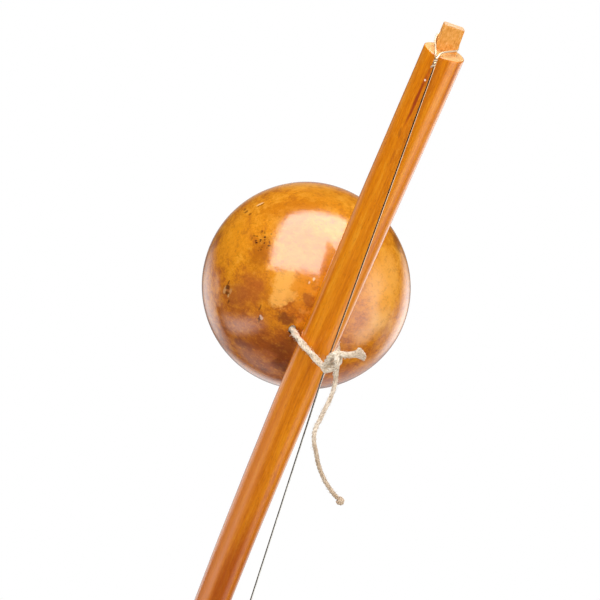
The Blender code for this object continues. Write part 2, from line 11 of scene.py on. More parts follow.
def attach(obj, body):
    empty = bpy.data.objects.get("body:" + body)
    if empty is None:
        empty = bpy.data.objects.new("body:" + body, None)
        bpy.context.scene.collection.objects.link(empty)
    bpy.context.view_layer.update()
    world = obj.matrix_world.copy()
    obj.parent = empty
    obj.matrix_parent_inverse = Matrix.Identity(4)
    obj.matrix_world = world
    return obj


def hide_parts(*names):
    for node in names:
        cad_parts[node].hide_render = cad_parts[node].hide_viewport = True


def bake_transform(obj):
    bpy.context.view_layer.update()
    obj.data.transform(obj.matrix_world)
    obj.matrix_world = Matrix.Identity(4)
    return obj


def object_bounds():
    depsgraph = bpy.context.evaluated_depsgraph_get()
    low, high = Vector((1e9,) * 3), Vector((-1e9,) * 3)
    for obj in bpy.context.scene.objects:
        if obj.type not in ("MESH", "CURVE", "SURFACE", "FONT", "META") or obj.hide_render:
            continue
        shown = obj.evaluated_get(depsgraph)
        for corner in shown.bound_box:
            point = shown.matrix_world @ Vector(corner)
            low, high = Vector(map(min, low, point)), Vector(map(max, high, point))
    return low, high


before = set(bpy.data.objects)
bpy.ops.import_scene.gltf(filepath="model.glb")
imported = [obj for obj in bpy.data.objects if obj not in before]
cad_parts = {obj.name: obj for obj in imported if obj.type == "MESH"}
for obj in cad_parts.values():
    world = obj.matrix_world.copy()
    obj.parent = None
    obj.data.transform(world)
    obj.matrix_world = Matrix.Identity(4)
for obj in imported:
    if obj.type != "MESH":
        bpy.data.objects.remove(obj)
CAD_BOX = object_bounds()

# Sizes, nearly all of them those of the solids
CLEARANCE = 0.0003
STAVE_LENGTH = 1.350
FOOT_RADIUS = 0.01425
TIP_RADIUS = 0.01175
STAVE_BEND = math.radians(38.4)
PEG_HEIGHT = 0.0188
PEG_BASE_WIDTH = 0.0154
PEG_TOP_WIDTH = 0.0142
PEG_TOP_SHIFT = -0.0006
PEG_THICKNESS = 0.0058
PEG_SETBACK = 0.0006
PEG_ROUND = 0.0007
GRIP_STATION = 0.2355
GOURD_RADIUS = 0.080
GOURD_WALL = 0.0045
GOURD_MOUTH = 0.112
LOOP_HOLE_SPREAD = 0.0344
LOOP_HOLE_DROP = 0.0016
STRING_DIAMETER = 0.0013
STRING_HEIGHT = 0.0343
STRING_STATION = 0.0065
STRING_SIDE = 0.0018
STRING_FOOT_ANGLE = math.radians(-27.0)
STRING_FOOT_DROP = 0.0002
STRING_TIP_SIDE = 0.0075
FOOT_TWIST_LENGTH = 0.0068
FOOT_TWIST_TURNS = 2
EYE_TWIST_TURNS = 3
PEG_LOOP_FRONT = 0.0030
PEG_LOOP_BACK = 0.0088
PEG_LOOP_SHIFT = 0.0007
STRING_FOOT_GAP = 0.0006
EYE_RADIUS = 0.0048
EYE_STATION = 0.0420
EYE_HEIGHT = 0.0160
EYE_TWIST_RISE = 0.0045
EYE_TWIST_LENGTH = 0.0075
TWINE_DIAMETER = 0.0034
LOOP_INNER_DEPTH = 0.0285
LOOP_FRONT_STATION = 0.0026
LOOP_RISE_SHARE = 0.34
LOOP_RIGHT_SLACK = 0.0024
TAIL_KNOT_DIAMETER = 0.0064
PAD_DIAMETER = 0.0250
PAD_THICKNESS = 0.0040
PAD_ROUND = 0.0015
PAD_DENT = 0.0005
TACK_HEAD_DIAMETER = 0.0050
TACK_HEAD_HEIGHT = 0.0014
TACK_SHANK_DIAMETER = 0.0013
TACK_LENGTH = 0.0120
TACK_PLACES = ((-0.0070, 0.0), (-0.0015, 0.0068), (-0.0015, -0.0068))
TIE_DIAMETER = 0.0025
TIE_TURNS = 7
TIE_GAP = 0.0005
TIE_KNOT_DROP = 0.0085
TIE_KNOT_LENGTH = 0.0090
TIE_KNOT_REACH = 0.0026

# Free twine, each point (side, out, along) from the grip
SHORT_TAIL_POINTS = (
    (0.0064, -0.0430, 0.0185), (0.0102, -0.0425, 0.0194), (0.0138, -0.0425, 0.0208),
    (0.0170, -0.0425, 0.0221), (0.0203, -0.0425, 0.0233))
SHORT_TAIL_BRUSH = ((0.0173, -0.0425, 0.0276), (0.0234, -0.0425, 0.0237), (0.0240, -0.0425, 0.0192))
LONG_TAIL_POINTS = (
    (0.0080, -0.0430, 0.0040), (0.0091, -0.0434, 0.0010), (0.0106, -0.0453, -0.0067),
    (0.0103, -0.0477, -0.0164), (0.0087, -0.0508, -0.0287), (0.0077, -0.0533, -0.0386),
    (0.0099, -0.0553, -0.0470), (0.0137, -0.0570, -0.0534), (0.0177, -0.0587, -0.0606),
    (0.0258, -0.0612, -0.0704), (0.0356, -0.0632, -0.0785), (0.0396, -0.0638, -0.0809))
TAIL_KNOT_CENTRE = (0.0425, -0.0643, -0.0827)

# Strands of the loop's knot, in the same way, each with its thickness in twines: the arch, the hanging
# strand, the one below and a turn behind; then a tuft of fibres on top
KNOT_STRANDS = (
    (((-0.0008, -0.0380, 0.0026), (-0.0004, -0.0405, 0.0085), (-0.0003, -0.0432, 0.0149),
      (0.0016, -0.0450, 0.0192), (0.0055, -0.0447, 0.0200), (0.0096, -0.0432, 0.0197)), 1.28),
    (((0.0049, -0.0405, 0.0186), (0.0028, -0.0440, 0.0194), (0.0028, -0.0468, 0.0176),
      (0.0043, -0.0473, 0.0144), (0.0061, -0.0458, 0.0095), (0.0076, -0.0440, 0.0047),
      (0.0087, -0.0434, 0.0017)), 1.30),
    (((-0.0013, -0.0380, 0.0029), (0.0010, -0.0400, 0.0023), (0.0032, -0.0425, 0.0045),
      (0.0051, -0.0437, 0.0079), (0.0071, -0.0430, 0.0115), (0.0074, -0.0415, 0.0145),
      (0.0055, -0.0400, 0.0168)), 1.20),
    (((0.0012, -0.0392, 0.0048), (0.0039, -0.0395, 0.0065), (0.0058, -0.0400, 0.0102),
      (0.0064, -0.0405, 0.0144), (0.0035, -0.0400, 0.0153), (0.0016, -0.0395, 0.0106),
      (0.0014, -0.0392, 0.0062)), 1.12))
KNOT_TUFT = ((0.0036, -0.0425, 0.0190), (0.0034, -0.0422, 0.0204))

# Sizes that follow from those above
STRING_RADIUS = STRING_DIAMETER / 2
FOOT_TWIST_RADIUS = STRING_RADIUS * 1.06
EYE_TWIST_RADIUS = STRING_DIAMETER
TWINE_RADIUS = TWINE_DIAMETER / 2
STRAND_OFFSET = TWINE_DIAMETER * 0.26
TIE_RADIUS = TIE_DIAMETER / 2
PAD_TOP = CLEARANCE + PAD_THICKNESS

# How finely things are drawn
AXIS_STEPS = 270
POLE_ROWS = 230
POLE_SIDES = 56
GOURD_ROWS = 84
GOURD_INNER_ROWS = 40
GOURD_SIDES = 168

# How cords are laid: steps and strands in shares of the diameter, pitches in metres a turn
CORD_STEP = 0.2
STRAND_REACH = 0.215
STRAND_RADIUS = 0.275
TWINE_PITCH = 0.0090
SLACK_PITCH = 0.0160
KNOT_PITCH = 0.0120
STOPPER_COIL_PITCH = 0.0065
STOPPER_CORE_PITCH = 0.0080
TIE_PITCH = 0.0068
TIE_COIL_PITCH = 0.0066

# Light that reaches matt surfaces from all sides, 1 being white
AMBIENT = 0.40

# Camera: where the picture was taken from
VIEW_AZIMUTH = math.radians(-13.634)
VIEW_ELEVATION = math.radians(8.67)
VIEW_ROLL = math.radians(18.533)
VIEW_EYE = Vector((-0.29921, -1.14028, 0.20666))
VIEW_LENS = 99.554


# Shape of the bow

def stave_radius(station):
    """Radius of the stave at a distance from its shoulder."""
    return FOOT_RADIUS + (TIP_RADIUS - FOOT_RADIUS) * station / STAVE_LENGTH


def bent_axis():
    """Points (y, z) and tilts along the bent axis, most bent where the pole is slim, chord on Z."""
    step = STAVE_LENGTH / AXIS_STEPS
    weights = []
    for index in range(AXIS_STEPS):
        station = (index + 0.5) * step
        slimness = (FOOT_RADIUS / stave_radius(station)) ** 4
        weights.append(math.sin(math.pi * station / STAVE_LENGTH) * slimness)
    share = STAVE_BEND / sum(weights)
    turn = 0.0
    spots = [(0.0, 0.0, 0.0)]
    for weight in weights:
        y, z, _ = spots[-1]
        middle = turn + share * weight / 2
        turn += share * weight
        spots.append((y - math.sin(middle) * step, z - math.cos(middle) * step, turn))
    lean = math.atan2(-spots[-1][0], -spots[-1][1])
    upright = []
    for y, z, turn in spots:
        across = y * math.cos(lean) - z * math.sin(lean)
        along = y * math.sin(lean) + z * math.cos(lean)
        upright.append((across, along, turn - lean))
    return upright


AXIS = bent_axis()


def axis_spot(station):
    """Interpolated (y, z, tilt) of the axis at a distance from the shoulder."""
    place = min(max(station / STAVE_LENGTH * AXIS_STEPS, 0.0), float(AXIS_STEPS))
    index = min(int(place), AXIS_STEPS - 1)
    part = place - index
    return [a + (b - a) * part for a, b in zip(AXIS[index], AXIS[index + 1])]


GRIP = axis_spot(GRIP_STATION)
GRIP_RADIUS = stave_radius(GRIP_STATION)
GOURD_CENTRE = GRIP_RADIUS + CLEARANCE + GOURD_RADIUS


def on_stave(station, side, out, along):
    """World point from stave coordinates: side on X, out away from the string, along to the foot."""
    y, z, tilt = axis_spot(station)
    return Vector((
        side,
        y - GRIP[0] + out * math.cos(tilt) + along * math.sin(tilt),
        z - GRIP[1] - out * math.sin(tilt) + along * math.cos(tilt)))


def at_grip(point):
    """World point from (side, out, along) at the grip."""
    return on_stave(GRIP_STATION, *point)


def at_tip(side, out, beyond):
    """World point from the tip's end, beyond pointing out of the stave."""
    return on_stave(STAVE_LENGTH, side, out, -beyond)


def smooth(points, step):
    """Points at most a step apart on a smooth curve through the given points."""
    points = [Vector(point) for point in points]
    ends = [2 * points[0] - points[1]] + points + [2 * points[-1] - points[-2]]
    route = [points[0]]
    for a, b, c, d in zip(ends, ends[1:], ends[2:], ends[3:]):
        t1 = math.sqrt((b - a).length)
        t2 = t1 + math.sqrt((c - b).length)
        t3 = t2 + math.sqrt((d - c).length)
        count = max(1, math.ceil((c - b).length / step))
        for index in range(1, count + 1):
            t = t1 + (t2 - t1) * index / count
            ab = a.lerp(b, t / t1)
            bc = b.lerp(c, (t - t1) / (t2 - t1))
            cd = c.lerp(d, (t - t2) / (t3 - t2))
            left = ab.lerp(bc, t / t2)
            right = bc.lerp(cd, (t - t1) / (t3 - t1))
            route.append(left.lerp(right, (t - t1) / (t2 - t1)))
    return route


def grip_route(points, step):
    """A smooth route through points given as (side, out, along) at the grip."""
    return smooth([at_grip(point) for point in points], step)


def evenly(points, count):
    """The given number of points at equal distances along a route."""
    runs = run_lengths(points)
    spots = []
    index = 0
    for number in range(count):
        goal = runs[-1] * number / (count - 1)
        while index < len(points) - 2 and runs[index + 1] < goal:
            index += 1
        part = (goal - runs[index]) / (runs[index + 1] - runs[index])
        spots.append(points[index].lerp(points[index + 1], part))
    return spots


def run_lengths(points):
    """Distance along a route to each of its points."""
    runs = [0.0]
    for a, b in zip(points, points[1:]):
        runs.append(runs[-1] + (b - a).length)
    return runs


def spaced(points, step):
    """A route's points moved to equal distances of about a step."""
    return evenly(points, max(3, round(run_lengths(points)[-1] / step) + 1))


# Building meshes

def around(count):
    """Cosine and sine at equal steps round a circle."""
    angles = [2 * math.pi * number / count for number in range(count)]
    return [(math.cos(angle), math.sin(angle)) for angle in angles]


class Shape:
    """Vertices, faces and a lay for each vertex: where it is on its own material, in metres."""

    def __init__(self):
        self.verts = []
        self.faces = []
        self.lay = []

    def rings(self, rings, lays):
        """Skins a row of rings that have the same number of points, and closes both ends."""
        first = len(self.verts)
        count = len(rings[0])
        for ring, lay in zip(rings, lays):
            self.verts.extend(ring)
            self.lay.extend(lay)
        for row in range(len(rings) - 1):
            low = first + row * count
            for number in range(count):
                after = (number + 1) % count
                self.faces.append((low + number, low + after, low + count + after, low + count + number))
        last = first + (len(rings) - 1) * count
        self.faces.append(tuple(first + number for number in reversed(range(count))))
        self.faces.append(tuple(last + number for number in range(count)))

    def laid(self, lays, place):
        """Skins rings whose points follow from their lays by a function."""
        self.rings([[place(spot) for spot in lay] for lay in lays], lays)

    def turned(self, profile, place, sides):
        """A profile of (radius, height) turned about a place's Z; its lay is the turned point."""
        lays = [[(radius * c, radius * s, height) for c, s in around(sides)] for radius, height in profile]
        self.laid(lays, lambda spot: place @ Vector(spot))

    def sheet(self, corners, steps):
        """A sheet between four corners; its lay is (share across, share up, 0)."""
        low_left, low_right, high_right, high_left = corners
        first = len(self.verts)
        for row in range(steps + 1):
            left = low_left.lerp(high_left, row / steps)
            right = low_right.lerp(high_right, row / steps)
            for column in range(steps + 1):
                self.verts.append(left.lerp(right, column / steps))
                self.lay.append((column / steps, row / steps, 0.0))
        for row in range(steps):
            for column in range(steps):
                spot = first + row * (steps + 1) + column
                self.faces.append((spot, spot + 1, spot + steps + 2, spot + steps + 1))

    def tube(self, points, radii, sides, tag=0.0):
        """A round tube along a route; its lay is (run along it, way round it, tag)."""
        runs = run_lengths(points)
        rings = []
        lays = []
        for point, (_, across, over), run, radius in zip(points, carried(points), runs, radii):
            ring = []
            lay = []
            for number in range(sides):
                angle = 2 * math.pi * number / sides
                ring.append(point + (across * math.cos(angle) + over * math.sin(angle)) * radius)
                lay.append((run, radius * angle, tag))
            rings.append(ring)
            lays.append(lay)
        self.rings(rings, lays)

    def laid_cord(self, points, diameter, pitch, sides=7, plies=3):
        """Uneven strands laid round each other along a route."""
        points = spaced(points, diameter * CORD_STEP)
        runs = run_lengths(points)
        frames = carried(points)
        reach = STRAND_REACH * diameter
        for ply in range(plies):
            strand = []
            radii = []
            for index, (point, (_, across, over)) in enumerate(zip(points, frames)):
                angle = 2 * math.pi * (runs[index] / pitch + ply / plies)
                strand.append(point + (across * math.cos(angle) + over * math.sin(angle)) * reach)
                wander = noise.noise(point * 700.0 + Vector((ply * 5.0, 0.0, 0.0)))
                radii.append(diameter * (STRAND_RADIUS + 0.035 * wander))
            self.tube(strand, radii, sides, tag=ply * 0.37)

    def hairs(self, points, diameter, count, reach, seed, thick=0.00006, lift=0.9):
        """Fibres that lie across a cord and leave it at their ends, the more so the greater the lift."""
        draw = random.Random(seed)
        points = spaced(points, diameter * CORD_STEP)
        frames = carried(points)
        for _ in range(count):
            index = draw.randrange(1, len(points) - 1)
            ahead, across, over = frames[index]
            angle = draw.uniform(0.0, 2 * math.pi)
            out = across * math.cos(angle) + over * math.sin(angle)
            root = points[index] + out * diameter * 0.44
            lean = ahead * draw.choice((-1.0, 1.0)) * draw.uniform(0.5, 1.6)
            round_it = ahead.cross(out) * draw.uniform(-0.8, 0.8)
            way = (out * draw.uniform(0.1, 1.0) * lift + lean + round_it).normalized()
            bend = Vector([draw.uniform(-0.5, 0.5) for _ in range(3)])
            length = reach * draw.uniform(0.4, 1.0)
            route = [root + (way + bend * part) * length * part for part in (0.0, 0.35, 0.7, 1.0)]
            self.tube(route, (thick, thick, thick * 0.8, thick * 0.4), 3, tag=draw.random())

    def piece(self, name, material, sharp=None):
        """The finished object, smooth but for edges sharper than an angle in degrees."""
        mesh = bpy.data.meshes.new(name)
        mesh.from_pydata([tuple(vert) for vert in self.verts], [], self.faces)
        lay = mesh.attributes.new("lay", "FLOAT_VECTOR", "POINT")
        lay.data.foreach_set("vector", [value for spot in self.lay for value in spot])
        work = bmesh.new()
        work.from_mesh(mesh)
        bmesh.ops.recalc_face_normals(work, faces=work.faces)
        work.to_mesh(mesh)
        work.free()
        mesh.polygons.foreach_set("use_smooth", [True] * len(mesh.polygons))
        if sharp is not None:
            mesh.set_sharp_from_angle(angle=math.radians(sharp))
        mesh.materials.append(material)
        return placed(name, mesh)


def placed(name, data):
    """A new object in the scene."""
    made = bpy.data.objects.new(name, data)
    bpy.context.scene.collection.objects.link(made)
    return made


def carried(points):
    """Direction and two directions across at each point of a route, carried along without turning."""
    frames = []
    across = None
    for index in range(len(points)):
        ahead = (points[min(index + 1, len(points) - 1)] - points[max(index - 1, 0)]).normalized()
        if across is None:
            across = ahead.orthogonal()
        across = (across - ahead * across.dot(ahead)).normalized()
        frames.append((ahead, across, ahead.cross(across)))
    return frames


def belongs(made, body, slot, *nodes):
    """Ties a piece to its body and hides the solids that it stands for; its finish, given as slot, is not
    used.
    """
    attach(made, body)
    if nodes:
        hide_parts(*nodes)
    return made


# Materials

# Values are carried from one range to another with soft ends
EASED = {"interpolation_type": "SMOOTHSTEP"}


def srgb(code):
    """Linear colour from a hex code such as C8781E."""
    values = []
    for start in (0, 2, 4):
        value = int(code[start:start + 2], 16) / 255
        values.append(value / 12.92 if value <= 0.04045 else ((value + 0.055) / 1.055) ** 2.4)
    return (*values, 1.0)


def add_node(tree, kind, inputs=(), give=0, stops=(), **settings):
    """Adds a node, sets it, fills its inputs with values, hex colours or links, and gives an output."""
    made = tree.nodes.new("ShaderNode" + kind)
    for name, value in settings.items():
        setattr(made, name, value)
    if stops:
        ramp = made.color_ramp
        while len(ramp.elements) < len(stops):
            ramp.elements.new(1.0)
        for element, (position, code) in zip(ramp.elements, stops):
            element.position = position
            element.color = srgb(code)
    for name, value in inputs.items() if isinstance(inputs, dict) else enumerate(inputs):
        if isinstance(value, bpy.types.NodeSocket):
            tree.links.new(value, made.inputs[name])
        else:
            made.inputs[name].default_value = srgb(value) if isinstance(value, str) else value
    return made.outputs[give] if made.outputs else None


def new_material(name, **sockets):
    """A material with its shader's plain sockets set."""
    material = bpy.data.materials.new(name)
    material.use_nodes = True
    shader = material.node_tree.nodes["Principled BSDF"]
    for socket, value in sockets.items():
        shader.inputs[socket.replace("_", " ")].default_value = value
    return material, material.node_tree, shader


def spread(tree, place, sizes, detail=3.0, rough=0.55, give="Fac"):
    """Noise whose grains have the given sizes in metres along the three directions of a place."""
    scaled = add_node(tree, "VectorMath", [place, [1.0 / size for size in sizes]], operation="MULTIPLY")
    return add_node(tree, "TexNoise", {
        "Vector": scaled, "Scale": 1.0, "Detail": detail, "Roughness": rough}, give)


def jittered(tree, place, sizes, reach, detail=3.0, rough=0.55):
    """A place moved about by noise, so that what is drawn there gets ragged edges."""
    stray = spread(tree, place, sizes, detail, rough, "Color")
    stray = add_node(tree, "VectorMath", [stray, (0.5, 0.5, 0.5)], operation="SUBTRACT")
    return add_node(tree, "VectorMath", [stray, reach, place], operation="MULTIPLY_ADD")


def spot_mask(tree, place, centre, radii, inner, full=1.0):
    """A value inside an ellipsoid: full up to an inner share of its reach, fading to 0 at its edge."""
    moved = add_node(tree, "VectorMath", [place, centre], operation="SUBTRACT")
    scaled = add_node(tree, "VectorMath", [moved, [1.0 / radius for radius in radii]], operation="MULTIPLY")
    far = add_node(tree, "VectorMath", [scaled], "Value", operation="LENGTH")
    return add_node(tree, "MapRange", [far, 1.0, inner, 0.0, full], **EASED)


def spotted(tree, colour, place, spots):
    """A colour with spots laid over it in turn: centre, reach, colour, strength and unfaded share."""
    for centre, radii, code, strength, inner in spots:
        mask = spot_mask(tree, place, centre, radii, inner, strength)
        colour = add_node(tree, "Mix", {0: mask, 6: colour, 7: code}, 2, data_type="RGBA")
    return colour


def layered(tree, colour, *layers):
    """A colour with others laid over it in turn: by which value, from and to where, how much and which."""
    for value, start, end, strength, other in layers:
        mask = add_node(tree, "MapRange", [value, start, end, 0.0, strength], **EASED)
        colour = add_node(tree, "Mix", {0: mask, 6: colour, 7: other}, 2, data_type="RGBA")
    return colour


def weighted(tree, *parts):
    """Sum of values, each times its share."""
    total = 0.0
    for value, share in parts:
        total = add_node(tree, "Math", [value, share, total], operation="MULTIPLY_ADD")
    return total


def surfaced(tree, shader, colour, height, distance, strength):
    """Gives a shader its colour, and a relief of heights from 0 to 1 worth a distance in metres."""
    tree.links.new(colour, shader.inputs["Base Color"])
    relief = add_node(tree, "Bump", {"Height": height, "Distance": distance, "Strength": strength})
    tree.links.new(relief, shader.inputs["Normal"])


# Marks on the pole: centre (side, out, station), reach, colour and strength. In turn: the dark streak on the
# wood under the string near the foot and the darker spots near it, then the reddened stretch, and the paler
# left flank below the gourd, a painted sheen
POLE_MARKS = (
    # Dark streak and darker spots along the wood under the string near the foot
    ((-0.0080, -0.0117, 0.0340), (0.0014, 0.0024, 0.0240), "9A3414", 0.85),
    ((-0.0074, -0.0121, 0.0160), (0.0012, 0.0020, 0.0100), "B04A10", 0.60),
    ((-0.0090, -0.0108, 0.0590), (0.0016, 0.0024, 0.0040), "A2520E", 0.55),
    ((-0.0070, -0.0122, 0.0770), (0.0011, 0.0024, 0.0080), "AE5A0E", 0.45),
    ((0.0092, -0.0108, 0.0160), (0.0010, 0.0012, 0.0220), "A85016", 0.70),
    ((-0.0040, -0.0127, 0.4370), (0.0034, 0.0050, 0.0420), "A8460F", 0.60),
    ((-0.0090, -0.0100, 0.4100), (0.0024, 0.0040, 0.0400), "B4560F", 0.35),
    ((0.0012, -0.0124, 0.4550), (0.0066, 0.0066, 0.1000), "A03C0E", 0.60),
    # Paler left flank below the gourd: a painted sheen
    ((-0.0110, -0.0085, 0.3900), (0.0090, 0.0110, 0.1700), "DC8444", 0.50))
POLE_MARK_CORE = 0.35
# A pale chip beside the streak, with the share of it that has no fading
POLE_CHIP = ((-0.0078, -0.0118, 0.0188), (0.0008, 0.0012, 0.0009), "FFE2CC", 1.0, 0.6)


def varnished_pole():
    """Debarked hardwood pole under amber satin varnish: long fine grain and a soft sheen along its sides."""
    material, tree, shader = new_material(
        "varnished_pole", Roughness=0.5, Specular_IOR_Level=0.0, Coat_Weight=1.0, Coat_Roughness=0.20,
        Coat_IOR=1.5)
    lay = add_node(tree, "Attribute", give="Vector", attribute_name="lay")
    grain = spread(tree, lay, (0.0012, 0.0012, 0.030), 5.0, 0.68)
    broad = spread(tree, lay, (0.0055, 0.0055, 0.110))
    # Real pores are 0.2 mm wide: drawn wider, so that they show
    pores = spread(tree, lay, (0.0011, 0.0011, 0.0050), 3.0, 0.7)
    station = add_node(tree, "SeparateXYZ", [lay], "Z")
    tone = weighted(tree, (grain, 0.45), (broad, 0.55))
    colour = add_node(tree, "ValToRGB", [tone], stops=(
        (0.34, "C66804"), (0.46, "DA7A02"), (0.55, "E58704"), (0.68, "EF9C20")))
    colour = layered(
        tree, colour, (station, 0.30, 0.48, 0.55, "B85A12"), (pores, 0.52, 0.70, 0.34, "A04C0A"),
        (pores, 0.46, 0.30, 0.28, "F4AC34"))
    ragged = jittered(tree, lay, (0.0020, 0.0020, 0.0120), (0.0020, 0.0020, 0.0140))
    colour = spotted(tree, colour, ragged, [(*mark, POLE_MARK_CORE) for mark in POLE_MARKS])
    colour = spotted(tree, colour, lay, [POLE_CHIP])
    surfaced(tree, shader, colour, tone, 0.00012, 0.5)
    return material


def carved_wood():
    """The same wood cut with a knife and left bare: paler, dry, blotchy, with flat cuts and open pores."""
    material, tree, shader = new_material("carved_wood", Roughness=0.62, Specular_IOR_Level=0.25)
    lay = add_node(tree, "Attribute", give="Vector", attribute_name="lay")
    height = add_node(tree, "SeparateXYZ", [lay], "Z")
    blotches = spread(tree, lay, (0.0022, 0.0022, 0.0034), 4.0, 0.65)
    grain = spread(tree, lay, (0.0007, 0.0007, 0.0030), 3.0, 0.6)
    tone = weighted(tree, (blotches, 0.6), (grain, 0.4))
    face = add_node(tree, "ValToRGB", [tone], stops=(
        (0.34, "C07020"), (0.45, "DC9236"), (0.55, "E8A24C"), (0.68, "F4BE7E")))
    shoulder = add_node(tree, "ValToRGB", [tone], stops=(
        (0.34, "C98C48"), (0.48, "DFAA66"), (0.64, "EBC084")))
    colour = layered(
        tree, face, (height, 0.0012, 0.0004, 1.0, shoulder),
        (height, PEG_HEIGHT - 0.0012, PEG_HEIGHT - 0.0002, 0.8, "D9B08C"))
    surfaced(tree, shader, colour, tone, 0.00025, 0.6)
    return material


def string_steel():
    """Plain drawn steel wire: grey with a thin bright line, browned near its ends; its bends are painted pale
    cream and dull, a painted highlight.
    """
    material, tree, shader = new_material("string_steel", Metallic=1.0, Roughness=0.2)
    lay = add_node(tree, "Attribute", give="Vector", attribute_name="lay")
    dull = spread(tree, lay, (0.0060, 0.0008, 0.0010))
    run = add_node(tree, "SeparateXYZ", [lay], "X")
    # About the first 75 mm of either end are bent: round the tongue, or round the pad and the eye
    bent = add_node(tree, "MapRange", [run, 0.078, 0.072, 0.0, 1.0], **EASED)
    colour = add_node(tree, "ValToRGB", [dull], stops=((0.35, "9C9890"), (0.65, "C8C3B8")))
    # Bent ends painted pale cream and made mostly non-metal: a painted highlight in place of the reflections
    # they would show
    colour = layered(tree, colour, (run, 0.34, 0.30, 0.6, "C8965C"), (run, 0.078, 0.072, 1.0, "C2AC8E"))
    worn = add_node(tree, "MapRange", [dull, 0.3, 0.7, 0.16, 0.26], **EASED)
    metal = add_node(tree, "MapRange", [bent, 0.0, 1.0, 1.0, 0.20], **EASED)
    tree.links.new(colour, shader.inputs["Base Color"])
    tree.links.new(metal, shader.inputs["Metallic"])
    tree.links.new(weighted(tree, (worn, 1.0), (bent, 0.25)), shader.inputs["Roughness"])
    return material


def spun_fibre(name, dark, middle, light, darker_below=None):
    """Undyed spun yarn: dry and matt; paler where fibres lie on top and darker between them, a painted
    highlight and painted shade; when asked, darker towards a low end.
    """
    material, tree, shader = new_material(
        name, Roughness=0.92, Sheen_Weight=0.25, Sheen_Roughness=0.5, Specular_IOR_Level=0.2)
    lay = add_node(tree, "Attribute", give="Vector", attribute_name="lay")
    # Real fibres are 0.03 mm wide: drawn in bundles, so that they show
    fibres = spread(tree, lay, (0.0030, 0.00022, 0.1), 3.0, 0.65)
    patches = spread(tree, lay, (0.0040, 0.0040, 0.3), 2.0)
    gaps = spread(tree, lay, (0.0016, 0.0008, 0.1), 3.0, 0.6)
    tone = weighted(tree, (fibres, 0.6), (patches, 0.4))
    # Paler where the fibres stand high in the relief: a painted highlight
    colour = add_node(tree, "ValToRGB", [tone], stops=((0.33, dark), (0.45, middle), (0.58, light)))
    # Darker in the gaps between fibres: painted shade
    colour = layered(tree, colour, (gaps, 0.48, 0.36, 0.80, dark))
    # Darker towards the low end, between the two heights given
    if darker_below:
        place = add_node(tree, "TexCoord", give="Object")
        height = add_node(tree, "SeparateXYZ", [place], "Z")
        colour = layered(tree, colour, (height, *darker_below, 0.50, "A8865E"))
    surfaced(tree, shader, colour, fibres, 0.00018, 0.8)
    return material


def pad_leather():
    """Thick vegetable-tanned sole leather: brown, pebbled, with paler stains."""
    material, tree, shader = new_material("pad_leather", Roughness=0.66, Specular_IOR_Level=0.35)
    lay = add_node(tree, "Attribute", give="Vector", attribute_name="lay")
    pebbles = add_node(tree, "TexVoronoi", {"Vector": lay, "Scale": 1.0 / 0.0011}, feature="SMOOTH_F1")
    stain = spread(tree, lay, (0.0050, 0.0050, 0.0050))
    colour = add_node(tree, "ValToRGB", [stain], stops=(
        (0.32, "4A2A16"), (0.52, "6B3E20"), (0.70, "8A5A32")))
    surfaced(tree, shader, colour, pebbles, 0.00015, 0.7)
    return material


def tack_brass():
    """Pressed brass tack heads: dulled in patches, bright where rubbed."""
    material, tree, shader = new_material("tack_brass", Metallic=1.0, Roughness=0.3)
    lay = add_node(tree, "Attribute", give="Vector", attribute_name="lay")
    tarnish = spread(tree, lay, (0.0012, 0.0012, 0.0012))
    colour = add_node(tree, "ValToRGB", [tarnish], stops=((0.35, "8C6A2E"), (0.60, "C9A04E")))
    rough = add_node(tree, "MapRange", [tarnish, 0.3, 0.7, 0.45, 0.25], **EASED)
    tree.links.new(colour, shader.inputs["Base Color"])
    tree.links.new(rough, shader.inputs["Roughness"])
    return material


